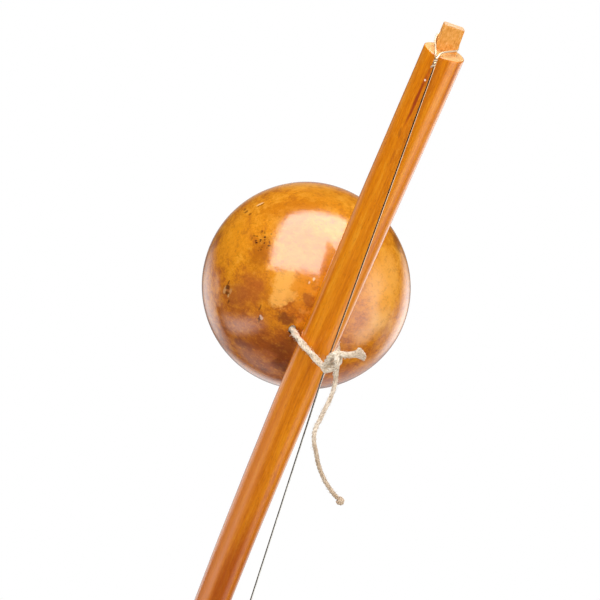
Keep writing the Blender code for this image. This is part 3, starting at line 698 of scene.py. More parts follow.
# Colour patches of the gourd's outside: place from its centre (side, along, towards the stave), reach,
# colour, strength and the share of the reach that has no fading
GOURD_PATCHES = (
    ((-0.0701, 0.0300, 0.0200), (0.022, 0.026, 0.028), "E99618", 0.60, 0.2),
    ((-0.0183, 0.0777, 0.0055), (0.034, 0.012, 0.012), "DB8C1E", 0.60, 0.2),
    ((-0.0300, 0.0700, 0.0200), (0.0320, 0.0140, 0.0160), "C87408", 0.70, 0.3),
    ((-0.0500, 0.0600, 0.0180), (0.0150, 0.0140, 0.0140), "C87206", 0.65, 0.2),
    ((-0.0360, 0.0610, 0.0370), (0.0220, 0.0180, 0.0200), "B86610", 0.70, 0.2),
    ((-0.0270, 0.0747, -0.0098), (0.050, 0.014, 0.012), "F2A83C", 0.70, 0.1),
    ((-0.0530, 0.0360, 0.0470), (0.0120, 0.0210, 0.0180), "B0600C", 0.85, 0.2),
    ((-0.0519, 0.0112, 0.0598), (0.017, 0.018, 0.018), "B25B24", 0.80, 0.3),
    ((-0.0600, 0.0000, 0.0530), (0.016, 0.016, 0.016), "A8582A", 0.65, 0.2),
    ((-0.0322, 0.0272, 0.0680), (0.0112, 0.0134, 0.0134), "F6B050", 0.95, 0.6),
    ((-0.0335, 0.0150, 0.0706), (0.0088, 0.0084, 0.0100), "F8B052", 0.92, 0.6),
    ((-0.0213, 0.0312, 0.0705), (0.0100, 0.0100, 0.0120), "E48F1A", 0.85, 0.6),
    ((-0.0138, 0.0237, 0.0751), (0.0072, 0.0065, 0.0090), "AC6120", 0.80, 0.5),
    ((-0.0129, 0.0154, 0.0774), (0.0055, 0.0034, 0.0060), "E09538", 0.75, 0.6),
    ((-0.0265, 0.0215, 0.0725), (0.0060, 0.0060, 0.0070), "F0A848", 0.80, 0.5),
    ((-0.0241, 0.0042, 0.0762), (0.0095, 0.0058, 0.0100), "82431D", 0.85, 0.4),
    # Partly a dark patch, partly painted shadow of the stave
    ((-0.0130, -0.0073, 0.0786), (0.0090, 0.0110, 0.0100), "6E3416", 0.70, 0.2),
    ((-0.0280, -0.0280, 0.0660), (0.0460, 0.0320, 0.0340), "96491E", 0.58, 0.1),
    ((-0.0230, 0.0520, 0.0560), (0.0280, 0.0220, 0.0260), "C9741C", 0.65, 0.4),
    # Pale peach right of the stave: partly a paler patch, partly painted sheen
    ((0.0470, 0.0180, 0.0620), (0.0180, 0.0190, 0.0200), "F8BC70", 0.75, 0.2),
    ((-0.0480, -0.0180, 0.0610), (0.0120, 0.0090, 0.0120), "B4622A", 0.45, 0.2),
    ((-0.0436, -0.0334, 0.0582), (0.0110, 0.0060, 0.0110), "7E3614", 0.75, 0.3),
    # Partly a dark patch, partly painted shadow of the stave
    ((-0.0170, -0.0232, 0.0747), (0.0130, 0.0170, 0.0140), "82421E", 0.75, 0.2),
    ((-0.0277, -0.0351, 0.0663), (0.0130, 0.0070, 0.0130), "CE7832", 0.35, 0.3),
    ((0.0400, 0.0430, 0.0480), (0.0220, 0.0300, 0.0300), "F6AC4A", 0.90, 0.4),
    ((0.0493, -0.0418, 0.0471), (0.0200, 0.0120, 0.0200), "B4683A", 0.60, 0.2),
    # Pale peach right of the stave: partly a paler patch, partly painted sheen
    ((0.0377, 0.0069, 0.0702), (0.0130, 0.0110, 0.0130), "F0AE6C", 0.60, 0.3),
    ((0.0506, 0.0605, 0.0120), (0.0110, 0.0080, 0.0140), "8C4A16", 0.65, 0.3),
    ((-0.0783, 0.0160, 0.0035), (0.0090, 0.0130, 0.0080), "8E4420", 0.55, 0.2),
    ((-0.0117, -0.0366, 0.0702), (0.0130, 0.0100, 0.0130), "62280F", 0.70, 0.2),
    ((-0.0602, -0.0227, 0.0475), (0.0080, 0.0100, 0.0100), "CC7A38", 0.50, 0.2),
    ((-0.0237, -0.0296, 0.0704), (0.0080, 0.0060, 0.0080), "B8683A", 0.60, 0.2),
    ((0.0545, 0.0090, 0.0570), (0.0140, 0.0090, 0.0140), "B86A24", 0.50, 0.2))
# Scars and scratches on it, in the same way but for the share without fading, which is the same for all
GOURD_SCARS = (
    ((-0.0672, -0.0022, 0.0434), (0.0020, 0.0044, 0.0020), "D8A468", 0.70),
    ((-0.0638, -0.0008, 0.0482), (0.0018, 0.0034, 0.0018), "CE9658", 0.65),
    ((-0.0662, 0.0008, 0.0448), (0.0030, 0.0026, 0.0030), "5A2A10", 0.85),
    ((-0.0652, -0.0036, 0.0464), (0.0034, 0.0020, 0.0034), "62300F", 0.80),
    ((-0.0656, -0.0014, 0.0458), (0.0014, 0.0013, 0.0014), "B06A34", 0.85),
    ((-0.0668, 0.0044, 0.0440), (0.0011, 0.0024, 0.0011), "6A3412", 0.80),
    ((-0.0642, -0.0044, 0.0476), (0.0014, 0.0018, 0.0014), "D8A468", 0.80),
    ((-0.0626, -0.0085, 0.0491), (0.0013, 0.0030, 0.0013), "64300F", 0.80),
    ((-0.0409, -0.0060, 0.0688), (0.0017, 0.0036, 0.0017), "5E2C16", 0.85),
    ((-0.0402, -0.0036, 0.0692), (0.0018, 0.0018, 0.0018), "E2BCA0", 0.85),
    ((-0.0430, 0.0030, 0.0670), (0.0008, 0.0030, 0.0010), "7A3A16", 0.70),
    ((-0.0578, 0.0552, 0.0038), (0.0040, 0.0040, 0.0012), "F4CF9A", 0.85),
    ((-0.0580, 0.0549, 0.0060), (0.0040, 0.0040, 0.0010), "8A4A12", 0.75),
    ((-0.0655, 0.0457, 0.0038), (0.0024, 0.0024, 0.0017), "7A3E10", 0.80),
    ((-0.0635, 0.0477, 0.0101), (0.0018, 0.0018, 0.0018), "7A3E10", 0.75),
    ((-0.0659, 0.0454, -0.0021), (0.0020, 0.0020, 0.0024), "8A4A12", 0.70),
    ((-0.0143, 0.0378, 0.0690), (0.0013, 0.0013, 0.0015), "F9DDB6", 0.85),
    ((-0.0170, 0.0345, 0.0700), (0.0010, 0.0014, 0.0012), "F9DDB6", 0.60))
GOURD_SCAR_CORE = 0.6
# Where the varnish is rubbed dull: centre, reach, share of it without fading and how much is lost
GOURD_DULL = ((0.047, 0.028, 0.057), (0.015, 0.024, 0.015), 0.2, 0.8)
# Where worm specks crowd: centre, reach and share without fading
GOURD_SPECKS = ((-0.0542, 0.0425, 0.0407), (0.0120, 0.0110, 0.0120), 0.3)
# Grain of the noise that frays the edges of patches and scars
GOURD_FRAY = (0.0055, 0.0055, 0.0055)


def varnished_gourd():
    """Dried calabash under gloss varnish: honey and burnt-brown mottle, worm specks, a wavy mirror shine."""
    material, tree, shader = new_material(
        "varnished_gourd", Roughness=0.45, Specular_IOR_Level=0.0, Coat_Weight=1.0, Coat_Roughness=0.13,
        Coat_IOR=1.5)
    place = add_node(tree, "TexCoord", give="Object")
    clouds = spread(tree, place, (0.016, 0.016, 0.016), 4.0, 0.6)
    waves = spread(tree, place, (0.0060, 0.0030, 0.0048), 3.0, 0.6)
    mottle = spread(tree, place, (0.0056, 0.0040, 0.0050), 5.0, 0.7)
    fine = spread(tree, place, (0.0018, 0.0015, 0.0017), 4.0, 0.7)
    ragged = jittered(tree, place, GOURD_FRAY, (0.015, 0.015, 0.015), 5.0, 0.65)
    nicked = jittered(tree, place, GOURD_FRAY, (0.005, 0.005, 0.005), 5.0, 0.65)
    along = add_node(tree, "SeparateXYZ", [place], "Y")
    grain = weighted(tree, (mottle, 0.6), (fine, 0.4))
    grain = add_node(tree, "MapRange", [grain, 0.36, 0.64, 0.0, 1.0], **EASED)
    paler_above = add_node(tree, "MapRange", [along, -0.060, 0.060, 0.035, 0.225], **EASED)
    tone = weighted(tree, (clouds, 0.60), (grain, 0.13), (paler_above, 1.0))
    colour = add_node(tree, "ValToRGB", [tone], stops=(
        (0.28, "8E4818"), (0.40, "B8631C"), (0.50, "D17C1A"), (0.59, "E08C16"), (0.72, "EDA232")))
    colour = spotted(tree, colour, ragged, GOURD_PATCHES)
    colour = layered(tree, colour, (grain, 0.45, 0.0, 0.26, "93501A"), (grain, 0.60, 1.0, 0.18, "F0A73C"))
    colour = spotted(tree, colour, nicked, [(*scar, GOURD_SCAR_CORE) for scar in GOURD_SCARS])

    cells = add_node(tree, "TexVoronoi", {"Vector": nicked, "Scale": 1.0 / 0.0021})
    dots = add_node(tree, "MapRange", [cells, 0.52, 0.30, 0.0, 1.0], **EASED)
    drawn = add_node(tree, "SeparateColor", [cells.node.outputs["Color"]])
    picked = add_node(tree, "MapRange", [drawn, 0.30, 0.45, 0.0, 1.0], **EASED)
    crowded = spot_mask(tree, ragged, *GOURD_SPECKS)
    sparse = add_node(tree, "MapRange", [clouds, 0.74, 0.84, 0.0, 0.5], **EASED)
    specks = weighted(tree, (crowded, 1.0), (sparse, 1.0))
    for share in (dots, picked):
        specks = add_node(tree, "Math", [specks, share], operation="MULTIPLY")
    colour = add_node(tree, "Mix", {0: specks, 6: colour, 7: "4A210C"}, 2, data_type="RGBA")

    rubbed = spot_mask(tree, place, *GOURD_DULL)
    gloss = add_node(tree, "MapRange", [rubbed, 0.0, 1.0, 1.0, 0.0], **EASED)
    wavy = add_node(tree, "Bump", {"Height": waves, "Distance": 0.00030, "Strength": 0.35})
    tree.links.new(gloss, shader.inputs["Coat Weight"])
    tree.links.new(wavy, shader.inputs["Coat Normal"])
    surfaced(tree, shader, colour, grain, 0.00022, 0.5)
    return material


def gourd_inside():
    """Scraped dry pulp side of the shell: dull straw brown, fibrous."""
    material, tree, shader = new_material("gourd_inside", Roughness=0.85, Specular_IOR_Level=0.25)
    place = add_node(tree, "TexCoord", give="Object")
    fibres = spread(tree, place, (0.0016, 0.0016, 0.0090), 4.0, 0.65)
    clouds = spread(tree, place, (0.020, 0.020, 0.020))
    tone = weighted(tree, (fibres, 0.55), (clouds, 0.45))
    colour = add_node(tree, "ValToRGB", [tone], stops=(
        (0.32, "7A5630"), (0.50, "A67E4C"), (0.66, "C6A372")))
    surfaced(tree, shader, colour, fibres, 0.0006, 0.7)
    return material


def gourd_rim():
    """Sawn and sanded edge of the shell: pale, dry and woody, with fine open pores."""
    material, tree, shader = new_material("gourd_rim", Roughness=0.7, Specular_IOR_Level=0.3)
    place = add_node(tree, "TexCoord", give="Object")
    pores = spread(tree, place, (0.0008, 0.0008, 0.0008), 3.0, 0.6)
    colour = add_node(tree, "ValToRGB", [pores], stops=(
        (0.34, "A87C48"), (0.50, "CDA874"), (0.66, "DDC096")))
    surfaced(tree, shader, colour, pores, 0.0003, 0.6)
    return material


def shaded_hole_wall():
    """Wall of a bored hole: dark brown, painted shade."""
    material, tree, shader = new_material("shaded_hole_wall", Roughness=0.9, Specular_IOR_Level=0.1)
    place = add_node(tree, "TexCoord", give="Object")
    hole_mottle = spread(tree, place, (0.0008, 0.0008, 0.0008), 3.0, 0.6)
    colour = add_node(tree, "ValToRGB", [hole_mottle], stops=((0.34, "1E0F07"), (0.66, "45260F")))
    tree.links.new(colour, shader.inputs["Base Color"])
    return material


# Camera

def make_camera():
    """Camera at the picture's place, turned so that the bow leans."""
    data = bpy.data.cameras.new("camera")
    data.lens = VIEW_LENS
    data.sensor_width = 36.0
    data.clip_start = 0.05
    data.clip_end = 60.0
    back = Vector((
        math.sin(VIEW_AZIMUTH) * math.cos(VIEW_ELEVATION),
        -math.cos(VIEW_AZIMUTH) * math.cos(VIEW_ELEVATION),
        math.sin(VIEW_ELEVATION)))
    level = Vector((math.cos(VIEW_AZIMUTH), math.sin(VIEW_AZIMUTH), 0.0))
    upward = level.cross(-back)
    right = level * math.cos(VIEW_ROLL) + upward * math.sin(VIEW_ROLL)
    up = upward * math.cos(VIEW_ROLL) - level * math.sin(VIEW_ROLL)
    camera = placed("camera", data)
    camera.matrix_world = frame_matrix(right, up, back, VIEW_EYE)
    bpy.context.scene.camera = camera


def frame_matrix(x, y, z, place):
    """A matrix from three directions and a place."""
    turn = Matrix((x, y, z)).transposed().to_4x4()
    return Matrix.Translation(place) @ turn


make_camera()

TWINE = spun_fibre("hemp_twine", "9C7E5E", "E8D4B6", "FFF4E4")
# The tail twine gets darker towards its low end, between these two heights
WORN_TWINE = spun_fibre("worn_hemp_twine", "987A60", "E4CDB0", "FCEEDC", (-0.056, -0.072))
CORD = spun_fibre("cotton_cord", "A39A88", "D2C9B8", "EFE9DC")


# Twine tails

def make_long_tail():
    """The hanging tail, its stopper knot and its loose fibres."""
    route = grip_route(LONG_TAIL_POINTS, 0.001)
    shape = Shape()
    shape.laid_cord(route, TWINE_DIAMETER, TWINE_PITCH)
    tail = belongs(shape.piece("long_tail_twine", WORN_TWINE), "gourd", "loop_twine", "long_tail")

    centre = at_grip(TAIL_KNOT_CENTRE)
    ahead = (centre - route[-4]).normalized()
    across = ahead.orthogonal().normalized()
    over = ahead.cross(across)
    thin = TWINE_DIAMETER * 0.74
    reach = TAIL_KNOT_DIAMETER / 2 - thin * 0.5
    coil_length = 0.0026
    steps = 40
    steps_per_turn = 16
    coil = []
    for index in range(steps + 1):
        angle = 2 * math.pi * index / steps_per_turn
        spot = centre + ahead * coil_length * (index / steps - 0.5)
        coil.append(spot + (across * math.cos(angle) + over * math.sin(angle)) * reach)
    shape = Shape()
    shape.laid_cord(coil, thin, STOPPER_COIL_PITCH)
    core = [route[-3], route[-1], centre, centre + ahead * 0.0030]
    shape.laid_cord(smooth(core, 0.0008), thin, STOPPER_CORE_PITCH)
    stub = [centre + ahead * 0.0015, centre + ahead * 0.0026]
    shape.hairs(smooth(stub, 0.0004), thin, count=16, reach=0.0020, seed=5)
    knot = belongs(shape.piece("tail_stopper_knot", WORN_TWINE), "gourd", "loop_twine", "tail_knot")

    shape = Shape()
    shape.hairs(route, TWINE_DIAMETER, count=320, reach=0.0026, seed=11, thick=0.00010, lift=0.5)
    fuzz = belongs(shape.piece("long_tail_fibres", WORN_TWINE), "gourd", "loop_twine")


def make_short_tail():
    """The cut tail: slack strands that end in a wide brush of fibres."""
    route = grip_route(SHORT_TAIL_POINTS, 0.001)
    thick = TWINE_DIAMETER * 1.36
    shape = Shape()
    shape.laid_cord(route[:-5], thick, SLACK_PITCH)
    inside = thick * 0.40
    brush_depth = 0.0026
    brush_hairs = 230
    draw = random.Random(23)
    ahead = (route[-1] - route[0]).normalized()
    near = (at_grip((0.0, -1.0, 0.0)) - at_grip((0.0, 0.0, 0.0))).normalized()
    side = ahead.cross(near).normalized()
    edge = spaced(grip_route(SHORT_TAIL_BRUSH, 0.0005), 0.0002)
    for _ in range(brush_hairs):
        share = draw.random()
        deep = draw.uniform(-1.0, 1.0) * math.sqrt(1.0 - (2.0 * share - 1.0) ** 2)
        tip = edge[int(share * (len(edge) - 1))] + near * deep * brush_depth
        tip -= ahead * draw.uniform(0.0, 0.0016)
        begin = route[-1] - ahead * draw.uniform(0.0035, 0.0075)
        aim = (tip - begin).dot(side)
        root = begin + side * max(-inside, min(inside, aim * 0.5)) + near * deep * inside
        leave = root + ahead * (tip - root).length * 0.45
        hair = [root, root.lerp(leave, 0.6), leave.lerp(tip, 0.45), tip]
        shape.tube(smooth(hair, 0.0012), [draw.uniform(0.00022, 0.00034)] * 12, 5, tag=draw.random())
    shape.hairs(route, thick, count=70, reach=0.0026, seed=31, thick=0.00011, lift=0.5)
    belongs(shape.piece("short_tail_twine", WORN_TWINE), "gourd", "loop_twine", "short_tail")


make_long_tail()
make_short_tail()


# Stave

def make_pole():
    """The bent pole up to the carved shoulder, its end rounded over."""
    stations = [0.0005, 0.0005, 0.00015, 0.0004, 0.0009, 0.002]
    stations += [STAVE_LENGTH * number / POLE_ROWS for number in range(1, POLE_ROWS)]
    stations += [STAVE_LENGTH - 0.0008, STAVE_LENGTH]
    shrink = {0: 0.0012, 1: 0.0009, 2: 0.00045, 3: 0.0001, len(stations) - 1: 0.0008}
    lays = []
    for number, station in enumerate(stations):
        lay = []
        for c, s in around(POLE_SIDES):
            uneven = 0.00010 * noise.noise(Vector((c * 1.3, s * 1.3, station * 28.0)))
            radius = stave_radius(station) - shrink.get(number, 0.0) + uneven
            lay.append((radius * s, radius * c, station))
        lays.append(lay)
    shape = Shape()
    shape.laid(lays, lambda spot: on_stave(spot[2], spot[0], spot[1], 0.0))
    belongs(shape.piece("stave_pole", varnished_pole(), 50.0), "stave", "stave_wood", "stave")


# Rings of the shoulder, from below to the middle of its face: share of its radius and drop below the face
SHOULDER_RINGS = (
    (0.02, 0.001), (1.0, 0.001), (1.0, 0.00012), (0.985, 0.0), (0.8, 0.0), (0.55, 0.0), (0.3, 0.0))


def make_foot():
    """The bare shoulder and the tongue carved on it, with a chip in the tongue's left edge."""
    shape = Shape()
    lays = []
    for share, drop in SHOULDER_RINGS:
        radius = (FOOT_RADIUS - 0.0005) * share
        lay = []
        for c, s in around(POLE_SIDES):
            cut = 0.0
            if drop == 0.0:
                cut = 0.00022 * noise.noise(Vector((radius * s * 260.0, radius * c * 420.0, 3.0)))
            lay.append((radius * s, radius * c, cut - drop))
        lays.append(lay)
    shape.laid(lays, lambda spot: on_stave(0.0, *spot))

    levels = [-0.0008, 0.0, 0.0006, 0.0015] + [PEG_HEIGHT * number / 12 for number in range(2, 12)]
    levels += [PEG_HEIGHT - 0.0007, PEG_HEIGHT - 0.00025, PEG_HEIGHT, PEG_HEIGHT]
    insets = [0.0] * (len(levels) - 3) + [0.00018, 0.0006, 0.0018]
    chip_level = 0.0105
    lays = []
    for level, inset in zip(levels, insets):
        part = max(level, 0.0) / PEG_HEIGHT
        wide = (PEG_BASE_WIDTH + (PEG_TOP_WIDTH - PEG_BASE_WIDTH) * part) / 2 - inset
        deep = PEG_THICKNESS / 2 - inset
        chip = 0.0004 * math.exp(-((level - chip_level) / 0.0012) ** 2)
        lay = []
        for side, out in rounded_box(wide, deep, PEG_ROUND * 0.8):
            seed = Vector((side * 300.0, out * 300.0, level * 160.0))
            away = Vector((side / wide, out / deep)).normalized() * 0.00014 * noise.noise(seed)
            notch = chip if side < -wide * 0.9 else 0.0
            lay.append((side + away.x + notch + PEG_TOP_SHIFT * part, out + away.y + PEG_SETBACK, level))
        lays.append(lay)
    shape.laid(lays, lambda spot: on_stave(0.0, *spot))
    belongs(shape.piece("stave_foot", carved_wood(), 35.0), "stave", "stave_wood", "stave")


def rounded_box(wide, deep, corner):
    """Points round a rectangle with rounded corners."""
    spots = []
    corners = ((1, 1, 0), (-1, 1, 90), (-1, -1, 180), (1, -1, 270))
    for number, (x, y, start) in enumerate(corners):
        for step in range(5):
            angle = math.radians(start + 22.5 * step)
            spots.append((x * (wide - corner) + corner * math.cos(angle),
                          y * (deep - corner) + corner * math.sin(angle)))
        next_x, next_y, next_start = corners[(number + 1) % 4]
        angle = math.radians(next_start)
        goal = (next_x * (wide - corner) + corner * math.cos(angle),
                next_y * (deep - corner) + corner * math.sin(angle))
        last = spots[-1]
        for part in (0.2, 0.4, 0.6, 0.8):
            spots.append((last[0] + (goal[0] - last[0]) * part, last[1] + (goal[1] - last[1]) * part))
    return spots


make_pole()
make_foot()


# String

def tangent_touch(point, centre, radius, side):
    """Angle where a line from a point touches a circle; side is +1 or -1."""
    dx = point[0] - centre[0]
    dy = point[1] - centre[1]
    return math.atan2(dy, dx) + side * math.acos(radius / math.hypot(dx, dy))


def outer_tangent(small, small_radius, large, large_radius, side):
    """Angle of the outward normal of the line that touches two circles on one side, -1 left or +1 right."""
    dx = small[0] - large[0]
    dy = small[1] - large[1]
    return math.atan2(dy, dx) + side * math.acos((large_radius - small_radius) / math.hypot(dx, dy))


def circle(centre, radius, angle):
    """Point on a circle."""
    return (centre[0] + radius * math.cos(angle), centre[1] + radius * math.sin(angle))


def twist(start, end, aside, radius, turns):
    """Points of a wire wound round a straight line from start to end, its last point on the aside side."""
    core = (end - start).normalized()
    aside = (aside - core * aside.dot(core)).normalized()
    across = core.cross(aside)
    steps_per_turn = 20
    count = steps_per_turn * turns
    spots = []
    for index in range(count + 1):
        angle = 2 * math.pi * (index - count) / steps_per_turn
        round_core = aside * math.cos(angle) + across * math.sin(angle)
        spots.append(start.lerp(end, index / count) + round_core * radius)
    return spots


def peg_loop():
    """Points of the string round the tongue, from left by the back to right, its front drawn to the left."""
    half_width = PEG_BASE_WIDTH / 2 + STRING_RADIUS
    half_depth = PEG_THICKNESS / 2 + STRING_RADIUS
    squareness = 0.4
    spots = []
    for degrees in (206, 192, 172, 146, 118, 90, 62, 34, 8, -12, -26):
        c = math.cos(math.radians(degrees))
        s = math.sin(math.radians(degrees))
        shift = PEG_LOOP_SHIFT if degrees > 180 or degrees < 40 else 0.0
        side = half_width * math.copysign(abs(c) ** squareness, c) - shift
        out = PEG_SETBACK + half_depth * math.copysign(abs(s) ** squareness, s)
        rise = PEG_LOOP_FRONT + (PEG_LOOP_BACK - PEG_LOOP_FRONT) * (0.5 + 0.5 * out / half_depth)
        lean = PEG_TOP_SHIFT * rise / PEG_HEIGHT
        spots.append(on_stave(0.0, side + lean, out, rise))
    return spots


def string_foot_place():
    """Side and out of the string's straight part at the shoulder."""
    reach = FOOT_RADIUS + CLEARANCE + STRING_DIAMETER + STRING_FOOT_GAP + STRING_RADIUS
    return reach * math.sin(STRING_FOOT_ANGLE), -reach * math.cos(STRING_FOOT_ANGLE)


def string_foot():
    """Top of the string's straight part, just below the shoulder."""
    side, out = string_foot_place()
    return on_stave(0.0, side, out, -STRING_FOOT_DROP)


def pad_half():
    """Half of the pad's width where the string crosses it."""
    return math.sqrt((PAD_DIAMETER / 2) ** 2 - STRING_TIP_SIDE ** 2)


KINK = on_stave(GRIP_STATION, STRING_SIDE, -STRING_HEIGHT, STRING_STATION)
# Where the string crosses the shoulder's edge, left and right of its straight part: (side, out, along)
SHOULDER_CROSSINGS = ((-0.0014, 0.0020, 0.0020), (0.0024, 0.0022, 0.0022))


def upper_string():
    """Route from the end at the foot up the twist, round the tongue, down the twist and on to the kink."""
    side, out = string_foot_place()
    core_top = string_foot()
    down = (KINK - core_top).normalized()
    core_end = core_top + down * FOOT_TWIST_LENGTH
    aside = Vector((-1.0, 0.0, 0.0))
    wound = twist(core_end, core_top, aside, FOOT_TWIST_RADIUS, FOOT_TWIST_TURNS)
    partner = twist(core_end, core_top, -aside, FOOT_TWIST_RADIUS, FOOT_TWIST_TURNS)[::-1]
    lead = [wound[0] - (wound[1] - wound[0]).normalized() * STRING_DIAMETER]
    left, right = [on_stave(0.0, side + across, out + back, up) for across, back, up in SHOULDER_CROSSINGS]
    over = [wound[-1], left] + peg_loop() + [right, partner[0]]
    route = lead + wound[:-1] + smooth(over, 0.0007) + partner[1:]
    start = route[-1]
    steps = 40
    return route + [start.lerp(KINK, number / steps) for number in range(1, steps + 1)]


def lower_string():
    """Route from the kink over the pad on the tip to the eye behind it."""
    half = pad_half()
    bend = PAD_ROUND + STRING_RADIUS + 0.0001
    front = (-half + PAD_ROUND, PAD_TOP - PAD_ROUND)
    back = (half - PAD_ROUND, PAD_TOP - PAD_ROUND)
    tip = at_tip(0.0, 0.0, 0.0)
    outward = at_tip(0.0, 1.0, 0.0) - tip
    beyond = at_tip(0.0, 0.0, 1.0) - tip
    kink_flat = ((KINK - tip).dot(outward), (KINK - tip).dot(beyond))
    first = tangent_touch(kink_flat, front, bend, -1) % (2 * math.pi)
    eye_top = (EYE_HEIGHT, -EYE_STATION + EYE_RADIUS)
    last = tangent_touch(eye_top, back, bend, 1)
    crest = math.pi / 2
    shares = [number / 8 for number in range(9)]
    wrap = [circle(front, bend, first + (crest - first) * share) for share in shares]
    wrap += [circle(back, bend, crest + (last - crest) * share) for share in shares]
    over = [at_tip(STRING_TIP_SIDE, flat_out, flat_beyond) for flat_out, flat_beyond in wrap]
    steps = 60
    route = [KINK.lerp(over[0], number / steps) for number in range(steps)] + over
    return route + eye_route(over[-1])


def eye_route(start_point):
    """The string's end behind the tip: down to the eye, round it and back up in a twist."""
    top = -EYE_STATION + EYE_RADIUS
    core_start = at_tip(STRING_TIP_SIDE, EYE_HEIGHT, top + EYE_TWIST_RISE)
    core_end = core_start.lerp(start_point, EYE_TWIST_LENGTH / (start_point - core_start).length)
    ring = []
    for degrees in (50, 20, -10, -40, -70, -100, -130, -160, -190, -220):
        c = math.cos(math.radians(degrees))
        s = math.sin(math.radians(degrees))
        ring.append(at_tip(STRING_TIP_SIDE + EYE_RADIUS * c, EYE_HEIGHT, -EYE_STATION + EYE_RADIUS * s))
    aside = Vector((-1.0, 0.0, 0.0))
    wound = twist(core_end, core_start, aside, EYE_TWIST_RADIUS, EYE_TWIST_TURNS)
    wound.reverse()
    core = [core_end.lerp(core_start, part) for part in (0.0, 0.3, 0.6, 0.8, 1.0)]
    closing = core + ring + [wound[0]]
    tail = wound[-1] + (wound[-1] - wound[-2]).normalized() * STRING_DIAMETER
    return smooth(closing, 0.0008) + wound[1:] + [tail]


def make_string():
    """The steel string in two halves that meet under the loop."""
    steel = string_steel()
    pad_front = at_tip(STRING_TIP_SIDE, -pad_half(), 0.0)
    halves = (
        ("string_upper", upper_string(), string_foot()),
        ("string_lower", lower_string()[::-1], pad_front))
    for name, route, far in halves:
        shape = Shape()
        shape.tube(route, [STRING_RADIUS] * len(route), 10)
        half = shape.piece(name, steel, 60.0)
        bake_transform(half)
        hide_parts("wire")


make_string()


# Gourd

# The side on which the gourd is fuller than a ball, and by what share of its radius
GOURD_FULLER_SIDE = Vector((0.987, -0.160, 0.0))
GOURD_FULLNESS = 0.018
RIM_SHARES = (0.04, 0.12, 0.4, 0.7, 0.92)
LOOP_HOLE_RADII = (0.0028, 0.0036)
GOURD_MIDDLE = at_grip((0.0, GOURD_CENTRE, 0.0))
GOURD_PLACE = Matrix.Translation(GOURD_MIDDLE) @ Matrix.Rotation(
    -GRIP[2], 4, "X") @ Matrix.Rotation(math.pi / 2, 4, "X")


def shell_profile():
    """Radius and height along the shell's outside, over the sawn rim and back along its inside."""
    outer = GOURD_RADIUS
    inner = GOURD_RADIUS - GOURD_WALL
    cut = math.sqrt(outer ** 2 - (GOURD_MOUTH / 2) ** 2)
    last = math.pi - math.asin(GOURD_MOUTH / 2 / outer)
    inner_last = math.pi - math.acos(cut / inner)
    profile = []
    for number in range(1, GOURD_ROWS + 1):
        angle = last * number / GOURD_ROWS
        profile.append((outer * math.sin(angle), outer * math.cos(angle)))
    inner_edge = inner * math.sin(inner_last)
    outer_edge = GOURD_MOUTH / 2
    profile[-1] = (outer_edge + 0.0003, -cut + 0.0006)
    for share in RIM_SHARES:
        profile.append((outer_edge + (inner_edge - outer_edge) * share, -cut))
    profile.append((inner_edge, -cut + 0.0005))
    for number in range(GOURD_INNER_ROWS - 1, 0, -1):
        angle = inner_last * number / GOURD_INNER_ROWS
        profile.append((inner * math.sin(angle), inner * math.cos(angle)))
    return profile


def whole_shell():
    """Mesh of the uneven shell with its mouth cut, in three finishes: outside, rim and inside."""
    work = bmesh.new()
    rings = []
    for radius, height in shell_profile():
        ring = []
        for c, s in around(GOURD_SIDES):
            spot = Vector((radius * c, radius * s, height))
            grown = 1.0 + 0.0016 * noise.noise(spot * 26.0) + 0.0004 * noise.noise(spot * 90.0)
            grown += GOURD_FULLNESS * max(0.0, spot.normalized().dot(GOURD_FULLER_SIDE)) ** 4
            ring.append(work.verts.new(spot * grown))
        rings.append(ring)
    for row, (low, high) in enumerate(zip(rings, rings[1:])):
        finish = 0 if row < GOURD_ROWS else (1 if row < GOURD_ROWS + len(RIM_SHARES) else 2)
        for number in range(GOURD_SIDES):
            after = (number + 1) % GOURD_SIDES
            face = work.faces.new((low[number], low[after], high[after], high[number]))
            face.material_index = finish
    for ring, height, finish in ((rings[0], GOURD_RADIUS, 0), (rings[-1], GOURD_RADIUS - GOURD_WALL, 2)):
        crown = work.verts.new((0.0, 0.0, height))
        for number in range(GOURD_SIDES):
            face = work.faces.new((ring[number], ring[(number + 1) % GOURD_SIDES], crown))
            face.material_index = finish
    bmesh.ops.recalc_face_normals(work, faces=work.faces)
    mesh = bpy.data.meshes.new("gourd_shell")
    work.to_mesh(mesh)
    work.free()
    return mesh


def hole_drill(way, material):
    """A ragged oval rod where a twine hole is bored, on the left or the right."""
    work = bmesh.new()
    bmesh.ops.create_cone(work, cap_ends=True, segments=28, radius1=1.0, radius2=1.0, depth=0.024)
    for corner in work.verts:
        ragged = 1.0 + 0.07 * noise.noise(corner.co * 1.7)
        corner.co.x = corner.co.x * LOOP_HOLE_RADII[0] * ragged + way * LOOP_HOLE_SPREAD / 2
        corner.co.y = corner.co.y * LOOP_HOLE_RADII[1] * ragged - LOOP_HOLE_DROP
        corner.co.z += GOURD_RADIUS - 0.003
    mesh = bpy.data.meshes.new("drill")
    work.to_mesh(mesh)
    work.free()
    mesh.materials.append(material)
    return placed("drill", mesh)


